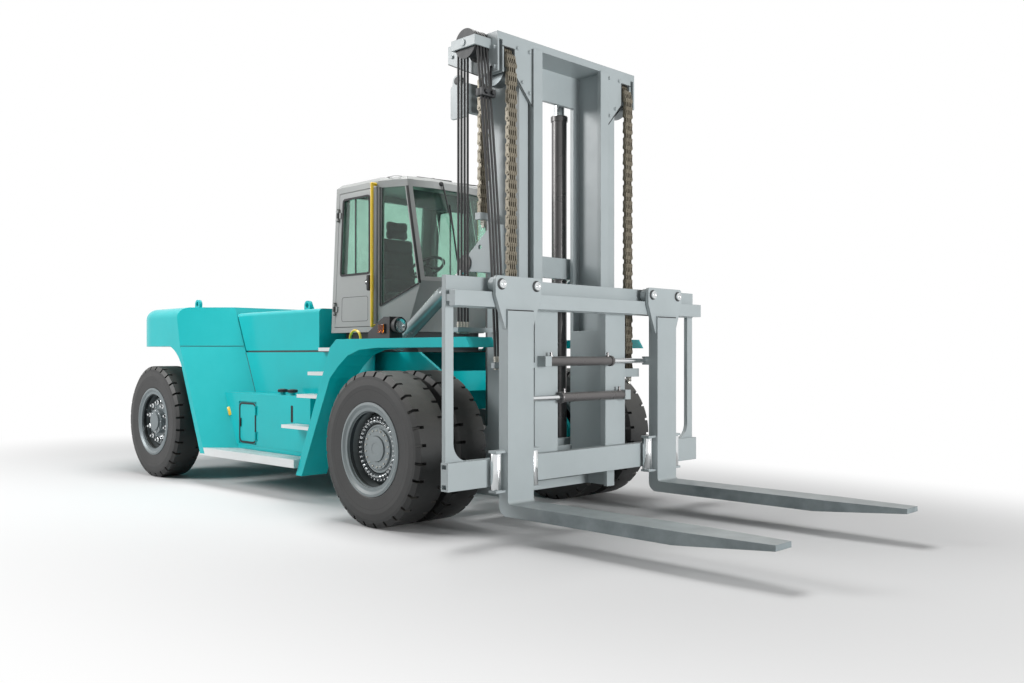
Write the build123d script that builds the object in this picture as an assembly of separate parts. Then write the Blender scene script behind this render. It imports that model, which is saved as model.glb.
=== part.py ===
from build123d import *
import os
from math import atan2, degrees, hypot

os.makedirs("parts", exist_ok=True)

# Heavy forklift truck. Millimetres, +X forward, +Y left, +Z up.
# Everything is drawn from the ground point under the front axle;
# the last step moves it to the bottom centre of the whole truck.

# Driving dimensions
TYRE_OD = 1370
TYRE_WIDTH = 360
RIM_R = 379
WHEELBASE = 4755
TWIN_GAP = 80
FRONT_OUTER_FACE = 1575
REAR_OUTER_FACE = 1365
REAR_OVERHANG = 845
BODY_HALF = 1270
MAST_TOP = 4262
FORK_TIP = 3671
FORK_LENGTH = 2361
FORK_WIDTH = 300
FORK_THICK = 104
FORK_SPREAD = 1005
FORK_BOTTOM = 205
LIFT_STROKE = 2400

# Clearances
GAP = 6
RUN = 0.3

# Derived sizes
TYRE_R = TYRE_OD / 2
OUTER_TYRE = FRONT_OUTER_FACE - TYRE_WIDTH / 2
INNER_TYRE = OUTER_TYRE - TYRE_WIDTH - TWIN_GAP
REAR_X = -WHEELBASE
REAR_END = REAR_X - REAR_OVERHANG
REAR_TYRE = REAR_OUTER_FACE - TYRE_WIDTH / 2
SHANK_FRONT = FORK_TIP - FORK_LENGTH
SHANK_REAR = SHANK_FRONT - FORK_THICK
ORIGIN_X = (FORK_TIP + REAR_END) / 2


def block(x, y, z):
    """A box between the low and high value of each pair."""
    size = Box(x[1] - x[0], y[1] - y[0], z[1] - z[0])
    return Pos((x[0] + x[1]) / 2, (y[0] + y[1]) / 2, (z[0] + z[1]) / 2) * size


def face_of(points, corners=()):
    """A flat face; corners lists (corner index, rounding radius)."""
    face = make_face(Polyline(*points, close=True))
    for index, radius in corners:
        corner = face.vertices().sort_by_distance(Vector(*points[index]))[0]
        face = fillet(corner, radius)
    return face


def plate_xz(points, y, corners=()):
    """An outline of (x, z) points, thick along Y."""
    solid = extrude(face_of(points, corners), amount=y[1] - y[0])
    return Plane(origin=(0, y[1], 0), x_dir=(1, 0, 0), z_dir=(0, -1, 0)) * solid


def plate_yz(points, x, corners=()):
    """An outline of (y, z) points, thick along X."""
    solid = extrude(face_of(points, corners), amount=x[1] - x[0])
    return Plane(origin=(x[0], 0, 0), x_dir=(0, 1, 0), z_dir=(1, 0, 0)) * solid


def plate_xy(points, z):
    """An outline of (x, y) points, thick along Z."""
    return Pos(0, 0, z[0]) * extrude(face_of(points), amount=z[1] - z[0])


def bar_y(x, z, radius, y):
    """A round bar along Y."""
    solid = Cylinder(radius, y[1] - y[0])
    return Pos(x, (y[0] + y[1]) / 2, z) * Rot(90, 0, 0) * solid


def bar_x(y, z, radius, x):
    solid = Cylinder(radius, x[1] - x[0])
    return Pos((x[0] + x[1]) / 2, y, z) * Rot(0, 90, 0) * solid


def bar_z(x, y, radius, z):
    return Pos(x, y, (z[0] + z[1]) / 2) * Cylinder(radius, z[1] - z[0])


def turned(points, x, y, z):
    """A profile of (radius, along) points turned about a Y axis."""
    return Pos(x, y, z) * revolve(face_of(points), axis=Axis.Y)


def left_of(solid):
    """The same piece on the other side of the truck."""
    return mirror(solid, about=Plane.XZ)


def both(solid):
    return solid + left_of(solid)


def save(name, solid):
    export_step(Pos(-ORIGIN_X, 0, 0) * solid, f"parts/{name}.step")


# Tyres and rims. Front wheels are twins on one hub.
LUGS = 28
GROOVE = 26
GROOVE_DEPTH = 48
GROOVE_REACH = 92
BEAD = TYRE_WIDTH * 0.415
SIDE_FOOT = TYRE_WIDTH * 0.47


def tyre_blank():
    """A turned tyre with grooves cut across both shoulders."""
    half = TYRE_WIDTH / 2
    profile = [
        (RIM_R, -BEAD),
        (RIM_R + 45, -SIDE_FOOT),
        (TYRE_R * 0.82, -half),
        (TYRE_R * 0.94, -half * 0.96),
        (TYRE_R, -half * 0.82),
        (TYRE_R, half * 0.82),
        (TYRE_R * 0.94, half * 0.96),
        (TYRE_R * 0.82, half),
        (RIM_R + 45, SIDE_FOOT),
        (RIM_R, BEAD),
    ]
    groove = block(
        (-GROOVE / 2, GROOVE / 2), (half - GROOVE_REACH, half), (TYRE_R - GROOVE_DEPTH, TYRE_R + GAP)
    )
    grooves = []
    for lug in range(LUGS):
        turn = 360 * lug / LUGS
        grooves.append(Rot(0, turn, 0) * groove)
        grooves.append(Rot(0, turn + 180 / LUGS, 0) * left_of(groove))
    return turned(profile, 0, 0, 0) - grooves


TYRE = tyre_blank()


def tube_y(x, y, r_in, r_out):
    """A ring about a Y axis at wheel height, between two y values."""
    profile = [(r_in, y[0]), (r_out, y[0]), (r_out, y[1]), (r_in, y[1])]
    return turned(profile, x, 0, TYRE_R)


def rim_flange(x, y, side):
    """The rim's turned-up edge against one side of a tyre."""
    profile = [
        (RIM_BORE, side * (BEAD - 20)),
        (RIM_R, side * BEAD),
        (RIM_R + 34, side * (BEAD + 34 * (SIDE_FOOT - BEAD) / 45)),
        (RIM_R + 34, side * (SIDE_FOOT + 3)),
        (RIM_R + 12, side * (SIDE_FOOT + 8)),
        (RIM_R - 12, side * (SIDE_FOOT - 8)),
        (RIM_BORE, side * (SIDE_FOOT - 8)),
    ]
    return turned(profile, x, y, TYRE_R)


def rim_barrel(x, tyres, outer_face):
    """A rim under one or two tyres, with a lock ring in its mouth."""
    rim = tube_y(x, (min(tyres) - BEAD, max(tyres) + BEAD), RIM_BORE, RIM_R)
    for y in tyres:
        rim += rim_flange(x, y, 1) + rim_flange(x, y, -1)
    return rim + tube_y(x, (outer_face - 75, outer_face - 40), RIM_BORE - 12, RIM_BORE)


SPINDLE_R = 118
RIM_BORE = RIM_R - 40
DISC_Y = 1290
DISC_THICK = 40
HUB_R = 200
HUB_END = 1490
SPINDLE_END = 1395
AXLE_R = 150
AXLE_END = DISC_Y - 2 * GAP

HUB_STEPS = [
    # radius, y end
    (HUB_R, HUB_END - 34),
    (HUB_R - 22, HUB_END - 14),
    (HUB_R - 92, HUB_END),
]
front_rims = rim_barrel(0, (INNER_TYRE, OUTER_TYRE), FRONT_OUTER_FACE)
disc = [
    (HUB_R - 20, DISC_Y),
    (RIM_BORE, DISC_Y),
    (RIM_BORE, DISC_Y + 2 * DISC_THICK),
    (RIM_BORE - 14, DISC_Y + 2 * DISC_THICK),
    (RIM_BORE - 46, DISC_Y + DISC_THICK),
    (HUB_R - 20, DISC_Y + DISC_THICK),
]
front_rims += turned(disc, 0, 0, TYRE_R)
front_rims += tube_y(0, (DISC_Y, SPINDLE_END + GAP), SPINDLE_R + RUN, HUB_R)
for step_r, step_end in HUB_STEPS:
    front_rims += bar_y(0, TYRE_R, step_r, (SPINDLE_END + GAP, step_end))
for side, sign in (("left", 1), ("right", -1)):
    inner = Pos(0, sign * INNER_TYRE, TYRE_R) * TYRE
    outer = Pos(0, sign * OUTER_TYRE, TYRE_R) * TYRE
    save(f"front_tyres_{side}", inner + outer)
save("front_rims_left", front_rims)
save("front_rims_right", left_of(front_rims))

drive_axle = bar_y(0, TYRE_R, AXLE_R, (-AXLE_END, AXLE_END))
drive_axle += bar_y(0, TYRE_R, SPINDLE_R, (-SPINDLE_END, SPINDLE_END))
drive_axle += bar_y(0, TYRE_R, 2 * AXLE_R, (-220, 220))
save("drive_axle", drive_axle)

# Steer axle, knuckles and rear wheels
KING_Y = 985
KING_R = 55
YOKE_R = 105
YOKE_GAP = 150
YOKE_THICK = 50
BEAM_HALF = 105
TUNNEL_HALF = 190
REAR_DISC_Y = 1225
REAR_SPINDLE_R = 80
REAR_SPINDLE_END = 1290

steer_axle = block(
    (REAR_X - BEAM_HALF, REAR_X + BEAM_HALF),
    (-KING_Y + YOKE_R + 60, KING_Y - YOKE_R - 60),
    (TYRE_R - YOKE_GAP, TYRE_R + YOKE_GAP),
)
steer_axle += bar_x(0, TYRE_R, 110, (REAR_X - TUNNEL_HALF, REAR_X + TUNNEL_HALF))
yoke = bar_z(REAR_X, KING_Y, YOKE_R, (0, YOKE_THICK))
yoke += block((REAR_X - YOKE_R, REAR_X + YOKE_R), (KING_Y - YOKE_R - 80, KING_Y), (0, YOKE_THICK))
steer_axle += both(Pos(0, 0, TYRE_R + YOKE_GAP) * yoke)
steer_axle += both(Pos(0, 0, TYRE_R - YOKE_GAP - YOKE_THICK) * yoke)
king_pin = bar_z(REAR_X, KING_Y, KING_R, (TYRE_R - YOKE_GAP, TYRE_R + YOKE_GAP))
steer_axle += both(king_pin)
save("steer_axle", steer_axle)

knuckle = bar_z(REAR_X, KING_Y, YOKE_R, (TYRE_R - YOKE_GAP + GAP, TYRE_R + YOKE_GAP - GAP))
knuckle += bar_y(REAR_X, TYRE_R, YOKE_R, (KING_Y, REAR_DISC_Y - GAP))
knuckle += bar_y(REAR_X, TYRE_R, REAR_SPINDLE_R, (KING_Y, REAR_SPINDLE_END))
knuckle -= bar_z(REAR_X, KING_Y, KING_R + RUN, (0, 2 * TYRE_R))
save("steer_knuckle_left", knuckle)
save("steer_knuckle_right", left_of(knuckle))

REAR_HUB_R = 150
REAR_HUB_END = REAR_SPINDLE_END + 50
rear_rim = rim_barrel(REAR_X, (REAR_TYRE,), REAR_OUTER_FACE)
dish = [
    (REAR_HUB_R - 20, REAR_DISC_Y),
    (RIM_BORE - 60, REAR_DISC_Y),
    (RIM_BORE, REAR_DISC_Y - 40),
    (RIM_BORE, REAR_DISC_Y),
    (RIM_BORE - 48, REAR_DISC_Y + 36),
    (REAR_HUB_R - 20, REAR_DISC_Y + 36),
]
rear_rim += turned(dish, REAR_X, 0, TYRE_R)
rear_rim += tube_y(
    REAR_X, (REAR_DISC_Y, REAR_SPINDLE_END + GAP), REAR_SPINDLE_R + RUN, REAR_HUB_R
)
rear_rim += bar_y(REAR_X, TYRE_R, REAR_HUB_R, (REAR_SPINDLE_END + GAP, REAR_HUB_END - 22))
rear_rim += bar_y(REAR_X, TYRE_R, REAR_HUB_R - 40, (REAR_SPINDLE_END + GAP, REAR_HUB_END))
for side, sign in (("left", 1), ("right", -1)):
    save(f"rear_tyre_{side}", Pos(REAR_X, sign * REAR_TYRE, TYRE_R) * TYRE)
save("rear_rim_left", rear_rim)
save("rear_rim_right", left_of(rear_rim))

# Chassis: two side plates, deck, cab pedestal and pivots
FRAME_IN = 570
FRAME_OUT = 610
FRAME_REAR = REAR_X + 815
PANEL_FOOT = 363
SEAM_FOOT = REAR_X + 1769
SEAM_LEAN = 0.475
HOOD_FRONT = -1985
HOOD_HALF = 760
OUTER_Y = (545, 655)
DECK_TOP = 1560
DECK_THICK = 20
DECK_HALF = 830
DECK_FRONT = -810
CAB_FLOOR = 1745
MAST_PIVOT = (400, 600)
MAST_PIN_R = 50
TILT_FOOT = (-640, 1623)
TILT_HEAD = (405, 2333)
TILT_Y = 736
TILT_PIN_R = 40
TILT_HALF = 36
ENGINE_HALF = 450
ENGINE_Z = (700, 1900)
DECK_UNDER = DECK_TOP - DECK_THICK
DECK_STEP = HOOD_FRONT + 85


def seam(z):
    """The leaning joint between the counterweight and the engine bay."""
    return SEAM_FOOT - SEAM_LEAN * (z - PANEL_FOOT)


HOOD_REAR = seam(DECK_TOP) + 4 * GAP
DECK_REAR = HOOD_REAR + 30
ENGINE_X = (HOOD_REAR + 130, HOOD_FRONT - 65)

side_outline = [
    (MAST_PIVOT[0] + 75, MAST_PIVOT[1] - 110),
    (MAST_PIVOT[0] + 75, MAST_PIVOT[1] + 120),
    (200, 1150),
    (TILT_FOOT[0] + 150, DECK_UNDER),
    (TILT_FOOT[0] + 85, TILT_FOOT[1] + 75),
    (TILT_FOOT[0] - 85, TILT_FOOT[1] + 75),
    (TILT_FOOT[0] - 150, DECK_UNDER),
    (FRAME_REAR, DECK_UNDER),
    (FRAME_REAR, 480),
]
side_plate = plate_xz(side_outline, (FRAME_IN, FRAME_OUT))
side_plate += bar_y(*TILT_FOOT, TILT_PIN_R, (FRAME_OUT, TILT_Y + TILT_HALF + 26))
side_plate += bar_y(*MAST_PIVOT, MAST_PIN_R, (FRAME_OUT, OUTER_Y[1] + 10))
chassis = both(side_plate)
cross_members = [
    # x low, x high, z low, z high
    (-400, -340, 1150, 1350),
    (-1300, -1200, 480, 700),
    (ENGINE_X[1] - 200, ENGINE_X[1] - 100, ENGINE_Z[0] - 80, ENGINE_Z[0]),
    (ENGINE_X[0] + 100, ENGINE_X[0] + 200, ENGINE_Z[0] - 80, ENGINE_Z[0]),
    (FRAME_REAR, FRAME_REAR + 50, 500, DECK_UNDER),
]
for x_low, x_high, z_low, z_high in cross_members:
    chassis += block((x_low, x_high), (-FRAME_IN, FRAME_IN), (z_low, z_high))
deck = block((DECK_STEP, DECK_FRONT), (-DECK_HALF, DECK_HALF), (DECK_UNDER, DECK_TOP))
deck += block((DECK_REAR, DECK_STEP), (GAP - HOOD_HALF, HOOD_HALF - GAP), (DECK_UNDER, DECK_TOP))
deck -= block(
    (ENGINE_X[0] - 40, ENGINE_X[1] + 40),
    (-ENGINE_HALF - 40, ENGINE_HALF + 40),
    (DECK_UNDER, DECK_TOP),
)
chassis += deck
PEDESTAL_X = (DECK_FRONT - 990, DECK_FRONT - 50)
PEDESTAL_HALF = 540
chassis += block(PEDESTAL_X, (-PEDESTAL_HALF, PEDESTAL_HALF), (DECK_TOP, CAB_FLOOR))
chassis -= bar_y(0, TYRE_R, AXLE_R, (-FRAME_OUT, FRAME_OUT))
save("chassis_frame", chassis)
save("engine_block", block(ENGINE_X, (-ENGINE_HALF, ENGINE_HALF), ENGINE_Z))

# Counterweight: overhanging block, core between the wheels, side panels
CW_TOP = 2087
CW_UNDER = 1615
CW_SIDE_LOW = REAR_X + 555
CW_SIDE_HIGH = REAR_X + 450
CW_CORNER_R = 600
CW_ROUND = 130
HOOD_TOP = 2014
HOOD_WALL = 15
CORE_HALF = 380
PANEL_LOW = REAR_X + 1168
PANEL_STRIP_LOW = 103
PANEL_STRIP_HIGH = 70
PANEL_IN = FRAME_OUT + 10
FLARE_FOOT = 1390
FLARE_REACH = 200


def cw_plan(z, side_front):
    """The counterweight seen from above, with round rear corners."""
    outline = [
        (seam(z), HOOD_HALF),
        (side_front, BODY_HALF),
        (REAR_END, BODY_HALF),
        (REAR_END, -BODY_HALF),
        (side_front, -BODY_HALF),
        (seam(z), -HOOD_HALF),
    ]
    return Pos(0, 0, z) * face_of(outline, ((2, CW_CORNER_R), (3, CW_CORNER_R)))


def panel(y_in):
    """A side panel: a strip along the wheel, then a leaning diagonal face."""
    sections = Sketch()
    for z, corner, strip in (
        (PANEL_FOOT, PANEL_LOW, PANEL_STRIP_LOW),
        (CW_UNDER, CW_SIDE_LOW, PANEL_STRIP_HIGH),
    ):
        outline = [
            (corner - strip, BODY_HALF),
            (corner, BODY_HALF),
            (seam(z), HOOD_HALF),
            (seam(z), y_in),
            (corner - strip, y_in),
        ]
        sections += Pos(0, 0, z) * face_of(outline)
    return loft(sections, ruled=True)


cw_upper = loft(Sketch() + [cw_plan(CW_UNDER, CW_SIDE_LOW), cw_plan(CW_TOP, CW_SIDE_HIGH)], ruled=True)
rear_top = cw_upper.faces().sort_by(Axis.Z)[-1].edges().sort_by(Axis.X)[0:3]
counterweight = fillet(rear_top, CW_ROUND)
counterweight += block((REAR_END + 60, FRAME_REAR), (-CORE_HALF, CORE_HALF), (450, CW_UNDER))
counterweight -= block(
    (REAR_X - TUNNEL_HALF, REAR_X + TUNNEL_HALF),
    (-CORE_HALF, CORE_HALF),
    (0, TYRE_R + YOKE_GAP + 90),
)
counterweight += both(panel(PANEL_IN))
# The panel's rear edge sweeps back under the block in a hollow curve
flare_top = CW_SIDE_LOW - PANEL_STRIP_HIGH
flare_share = (FLARE_FOOT - PANEL_FOOT) / (CW_UNDER - PANEL_FOOT)
flare_foot = PANEL_LOW - PANEL_STRIP_LOW
flare_foot += flare_share * (flare_top - flare_foot)
flare_start = (flare_foot, FLARE_FOOT)
flare_end = (flare_top - FLARE_REACH, CW_UNDER)
flare_mid = (0.57 * flare_foot + 0.43 * flare_end[0], FLARE_FOOT + 0.625 * (CW_UNDER - FLARE_FOOT))
flare_edges = ThreePointArc(flare_start, flare_mid, flare_end)
flare_edges += Polyline(flare_end, (flare_top, CW_UNDER), flare_start)
flare = extrude(make_face(flare_edges), amount=BODY_HALF - PANEL_IN)
flare = Plane(origin=(0, BODY_HALF, 0), x_dir=(1, 0, 0), z_dir=(0, -1, 0)) * flare
counterweight += both(flare)
EYE_R = 30


def lifting_eye(x, y, z):
    """A plate standing on a top face, with a round hole."""
    eye = block((x - 60, x + 60), (y - 20, y + 20), (z, z + 60))
    eye += bar_y(x, z + 60, 60, (y - 20, y + 20))
    return eye - bar_y(x, z + 65, EYE_R, (y - 20, y + 20))


counterweight += both(lifting_eye(REAR_X + 155, BODY_HALF - 442, CW_TOP))

# Engine hood: one lid hinged along its rear top edge, which leans with the seam
HOOD_FOOT = DECK_TOP + RUN
HOOD_REAR_TOP = seam(HOOD_TOP) + 4 * GAP
HOOD_EYE_X = HOOD_FRONT - 672.5
hood_outline = [
    (HOOD_REAR, HOOD_FOOT),
    (HOOD_FRONT, HOOD_FOOT),
    (HOOD_FRONT, HOOD_TOP),
    (HOOD_REAR_TOP, HOOD_TOP),
]
hood = plate_xz(hood_outline, (-HOOD_HALF, HOOD_HALF))
hood = fillet(hood.edges().filter_by(Axis.X).group_by(Axis.Z)[-1], 45)
hood -= block(
    (REAR_END, HOOD_FRONT - HOOD_WALL),
    (-HOOD_HALF + HOOD_WALL, HOOD_HALF - HOOD_WALL),
    (0, HOOD_TOP - 70),
)
hood += both(lifting_eye(HOOD_EYE_X, 460, HOOD_TOP))
# The lid's barrels turn on pins held by lugs on the counterweight
HOOD_AXIS = (HOOD_REAR_TOP - 2 * GAP, HOOD_TOP)
LID_BARREL_R = 10
LID_PIN_R = 6
for y in (-480, 480):
    barrel = bar_y(*HOOD_AXIS, LID_BARREL_R, (y - 40, y + 40))
    barrel += block((HOOD_AXIS[0], HOOD_REAR_TOP + 5), (y - 40, y + 40), (HOOD_TOP - 8, HOOD_TOP))
    hood += barrel - bar_y(*HOOD_AXIS, LID_PIN_R + RUN, (y - 40, y + 40))
    counterweight += bar_y(*HOOD_AXIS, LID_PIN_R, (y - 70, y + 70))
    for y_low in (y - 70, y + 46):
        counterweight += bar_y(*HOOD_AXIS, LID_BARREL_R, (y_low, y_low + 24))
        counterweight += block(
            (seam(HOOD_TOP), HOOD_AXIS[0]), (y_low, y_low + 24), (HOOD_TOP - 8, HOOD_TOP)
        )
save("engine_hood", hood)
save("counterweight", counterweight)

# Fenders over the front wheels: one band round the arch
FENDER_IN = 880
FENDER_OUT = 1185
FENDER_TOP = 1664
FENDER_FOOT = (-1774, 268)
FENDER_SHOULDER = (-1160, 1583)

fender_outline = [
    FENDER_FOOT,
    FENDER_SHOULDER,
    (-1052, FENDER_TOP),
    (836, FENDER_TOP),
    (891, 1577),
    (-400, 1577),
    (-672, 1559),
    (-859, 1504),
    (-1013, 1403),
    (-1160, 1278),
    (-1664, 268),
]
fender = plate_xz(fender_outline, (FENDER_IN, FENDER_OUT))
# A flange laid on the deck carries each fender
fender += block((-1000, DECK_FRONT - 10), (DECK_HALF - 80, FENDER_IN), (DECK_TOP, DECK_TOP + 30))
save("fenders", both(fender))

# Tanks beside the frame, ending against the panels; the right one has a hatch
TANK_FRONT = -1790
TANK_OUT = 1000
TANK_Z = (478, 1071)
HATCH_X = (PANEL_LOW + 322, PANEL_LOW + 697)
HATCH_Z = (TANK_Z[0] + 22, TANK_Z[1] - 101)
HATCH_THICK = 18
HATCH_ROUND = 45
CAP_X = (TANK_FRONT - 668, TANK_FRONT - 469)

tank = block((CW_SIDE_LOW, TANK_FRONT), (FRAME_OUT, TANK_OUT), TANK_Z)
tank -= panel(FRAME_OUT - GAP)
tank = tank.solids().sort_by(Axis.X)[-1]
for cap_x in CAP_X:
    tank += bar_z(cap_x, TANK_OUT - 80, 30, (TANK_Z[1], TANK_Z[1] + 30))
    tank += bar_z(cap_x, TANK_OUT - 80, 48, (TANK_Z[1] + 30, TANK_Z[1] + 62))
save("tank_left", tank)
# Panels close the engine bay between the tanks and the deck
BAY_FRONT = -1010
bay_outline = [
    (seam(TANK_Z[1]) + GAP / 2, TANK_Z[1]),
    (BAY_FRONT, TANK_Z[1]),
    (BAY_FRONT, DECK_UNDER),
    (seam(DECK_UNDER) + GAP / 2, DECK_UNDER),
]
save("side_panels", both(plate_xz(bay_outline, (HOOD_HALF - HOOD_WALL, HOOD_HALF))))
recess = block(
    (HATCH_X[0] - GAP, HATCH_X[1] + GAP),
    (-TANK_OUT, -TANK_OUT + HATCH_THICK + RUN),
    (HATCH_Z[0] - GAP, HATCH_Z[1] + GAP),
)
tank_right = left_of(tank) - recess
hatch_corners = [
    (HATCH_X[0], HATCH_Z[0]),
    (HATCH_X[1], HATCH_Z[0]),
    (HATCH_X[1], HATCH_Z[1]),
    (HATCH_X[0], HATCH_Z[1]),
]
rounds = [(corner, HATCH_ROUND) for corner in range(4)]
hatch = plate_xz(hatch_corners, (-TANK_OUT, -TANK_OUT + HATCH_THICK), rounds)
HATCH_AXIS = (HATCH_X[1] + GAP / 2, -TANK_OUT - LID_BARREL_R)
for z in (HATCH_Z[0] + 90, HATCH_Z[1] - 90):
    barrel = bar_z(*HATCH_AXIS, LID_BARREL_R, (z - 30, z + 30))
    barrel += block((HATCH_AXIS[0] - 24, HATCH_AXIS[0]), (-TANK_OUT - 8, -TANK_OUT), (z - 30, z + 30))
    hatch += barrel - bar_z(*HATCH_AXIS, LID_PIN_R + RUN, (z - 30, z + 30))
    tank_right += bar_z(*HATCH_AXIS, LID_PIN_R, (z - 50, z + 50))
    for z_low in (z - 50, z + 34):
        tank_right += bar_z(*HATCH_AXIS, LID_BARREL_R, (z_low, z_low + 16))
        tank_right += block(
            (HATCH_AXIS[0], HATCH_AXIS[0] + 24), (-TANK_OUT - 8, -TANK_OUT), (z_low, z_low + 16)
        )
save("tank_right", tank_right)
save("tank_hatch", hatch)

# Steps: a platform under the tank and treads out from the fender
PLATFORM_Z = (345, 432)
PLATFORM_IN = 920
PLATFORM_FRONT = TANK_FRONT + 40
TREAD_THICK = 35
TREAD_DEEP = 180


def fender_rear(z):
    """The fender's leaning rear face at a height."""
    share = (z - FENDER_FOOT[1]) / (FENDER_SHOULDER[1] - FENDER_FOOT[1])
    return FENDER_FOOT[0] + share * (FENDER_SHOULDER[0] - FENDER_FOOT[0])


platform = [
    (PANEL_LOW - PANEL_STRIP_LOW, BODY_HALF),
    (PLATFORM_FRONT, FENDER_OUT + 40),
    (PLATFORM_FRONT, PLATFORM_IN),
    (PANEL_LOW - PANEL_STRIP_LOW, PLATFORM_IN),
]
steps = plate_xy(platform, PLATFORM_Z) - panel(FRAME_OUT)
steps = steps.solids().sort_by(Axis.X)[-1]
for x_low in (HATCH_X[0] + 90, (HATCH_X[0] + TANK_FRONT) / 2, TANK_FRONT - 110):
    steps += block((x_low, x_low + 100), (PLATFORM_IN + 10, TANK_OUT - 10), (PLATFORM_Z[1], TANK_Z[0]))
treads = [
    # z, length
    (TANK_Z[0] + 300, 520),
    (TANK_Z[1] + TREAD_THICK, 375),
    (FENDER_SHOULDER[1] - 243, 280),
    (FENDER_SHOULDER[1], 200),
]
for tread_z, long in treads:
    tip = fender_rear(tread_z)
    tread = block(
        (tip - long, tip + GAP), (FENDER_OUT - TREAD_DEEP, FENDER_OUT), (tread_z - TREAD_THICK, tread_z)
    )
    web = [
        (tip - 0.6 * long, tread_z - TREAD_THICK),
        (tip, tread_z - TREAD_THICK),
        (fender_rear(tread_z - 110), tread_z - 110),
        (tip - 0.4 * long, tread_z - 110),
    ]
    tread += plate_xz(web, (FENDER_OUT - TREAD_DEEP, FENDER_OUT - TREAD_DEEP + 12))
    steps += tread - fender
save("steps", both(steps))

# Cab: hollow shell with door openings and windows
CAB_HALF = 670
CAB_REAR_LOW = -1890
CAB_REAR_HIGH = -1783
CAB_TOP = 3320
CAB_WAIST = 2250
CAB_CORNER_X = -1060
CAB_NOSE_Y = 532
CAB_NOSE_X = {"foot": -768, "waist": -545, "top": -768}
CAB_BOW = 68
CAB_BOW_HALF = 250
CAB_WALL = 45
ROOF_ROUND = 38
GLASS = 10
DOOR_FRONT = -1130
DOOR_POST = 60
DOOR_Z = (CAB_FLOOR + 55, CAB_TOP - 96)
WINDOW_HEAD = CAB_TOP - 110
WINDOW_HALF = 484
FRONT_SILL = 2290
REAR_SILL = 2300
CORNER_SILL = (2015, 2225)


def cab_plan(inset, rear, nose):
    """The cab seen from above, drawn smaller by the inset."""
    left = [
        (rear + inset, CAB_HALF - inset),
        (CAB_CORNER_X - inset * 0.4, CAB_HALF - inset),
        (nose - inset * 0.6, CAB_NOSE_Y - inset * 0.6),
        (nose + CAB_BOW - inset, CAB_BOW_HALF),
    ]
    right = [(x, -y) for x, y in reversed(left)]
    return face_of(left + right)


def cab_solid(inset):
    """The windscreen leans out from the roof down to the waist."""
    sections = [
        Pos(0, 0, CAB_FLOOR + inset) * cab_plan(inset, CAB_REAR_LOW, CAB_NOSE_X["foot"]),
        Pos(0, 0, CAB_WAIST) * cab_plan(inset, rear_at(CAB_WAIST), CAB_NOSE_X["waist"]),
        Pos(0, 0, CAB_TOP - inset) * cab_plan(inset, CAB_REAR_HIGH, CAB_NOSE_X["top"]),
    ]
    return loft(Sketch() + sections, ruled=True)


def rear_at(z):
    """The cab's leaning rear wall at a height."""
    share = (z - CAB_FLOOR) / (CAB_TOP - CAB_FLOOR)
    return CAB_REAR_LOW + share * (CAB_REAR_HIGH - CAB_REAR_LOW)


def door_outline(inset, foot, head):
    """A door-shaped prism through the left wall."""
    corners = [
        (rear_at(foot) + DOOR_POST + inset, foot),
        (DOOR_FRONT - inset, foot),
        (DOOR_FRONT - inset, head),
        (rear_at(head) + DOOR_POST + inset, head),
    ]
    return plate_xz(corners, (CAB_HALF - 60, CAB_HALF + 50))


cab_outside = cab_solid(0)
cab_outside = chamfer(cab_outside.faces().sort_by(Axis.Z)[-1].edges(), ROOF_ROUND)
cab_wall = cab_outside - cab_solid(CAB_WALL)
glass_layer = cab_solid(15) - cab_solid(15 + GLASS)
door_hole = door_outline(0, *DOOR_Z)
front_window = plate_yz(
    [
        (WINDOW_HALF, FRONT_SILL),
        (WINDOW_HALF, WINDOW_HEAD),
        (-WINDOW_HALF, WINDOW_HEAD),
        (-WINDOW_HALF, FRONT_SILL),
    ],
    (CAB_NOSE_X["top"] - CAB_WALL, CAB_NOSE_X["waist"] + CAB_BOW),
)
rear_window = block(
    (CAB_REAR_LOW, CAB_REAR_HIGH + 90), (-CAB_HALF + 150, CAB_HALF - 150), (REAR_SILL, WINDOW_HEAD)
)
head_share = (WINDOW_HEAD - CAB_WAIST) / (CAB_TOP - CAB_WAIST)
head_nose = CAB_NOSE_X["waist"] + head_share * (CAB_NOSE_X["top"] - CAB_NOSE_X["waist"])
corner_window = plate_xz(
    [
        (CAB_CORNER_X + 30, CORNER_SILL[0]),
        (CAB_CORNER_X + 30, WINDOW_HEAD),
        (head_nose - 34, WINDOW_HEAD),
        (CAB_NOSE_X["waist"] - 34, CORNER_SILL[1]),
    ],
    (CAB_NOSE_Y - CAB_WALL, CAB_HALF + 30),
)
windows = front_window + rear_window + both(corner_window)
save("cab_glass", windows & glass_layer)

door_blank = door_outline(GAP, DOOR_Z[0] + GAP, DOOR_Z[1] - GAP)
DOOR_SILL = 2350
HANDLE_Z = (DOOR_SILL - 170, DOOR_SILL - 30)
door_window = door_outline(70, DOOR_SILL, DOOR_Z[1] - 70)
door = (cab_wall & door_blank) - door_window
door += block((DOOR_FRONT - 65, DOOR_FRONT - 35), (CAB_HALF, CAB_HALF + 40), HANDLE_Z)
door_glass = glass_layer & door_window

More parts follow.
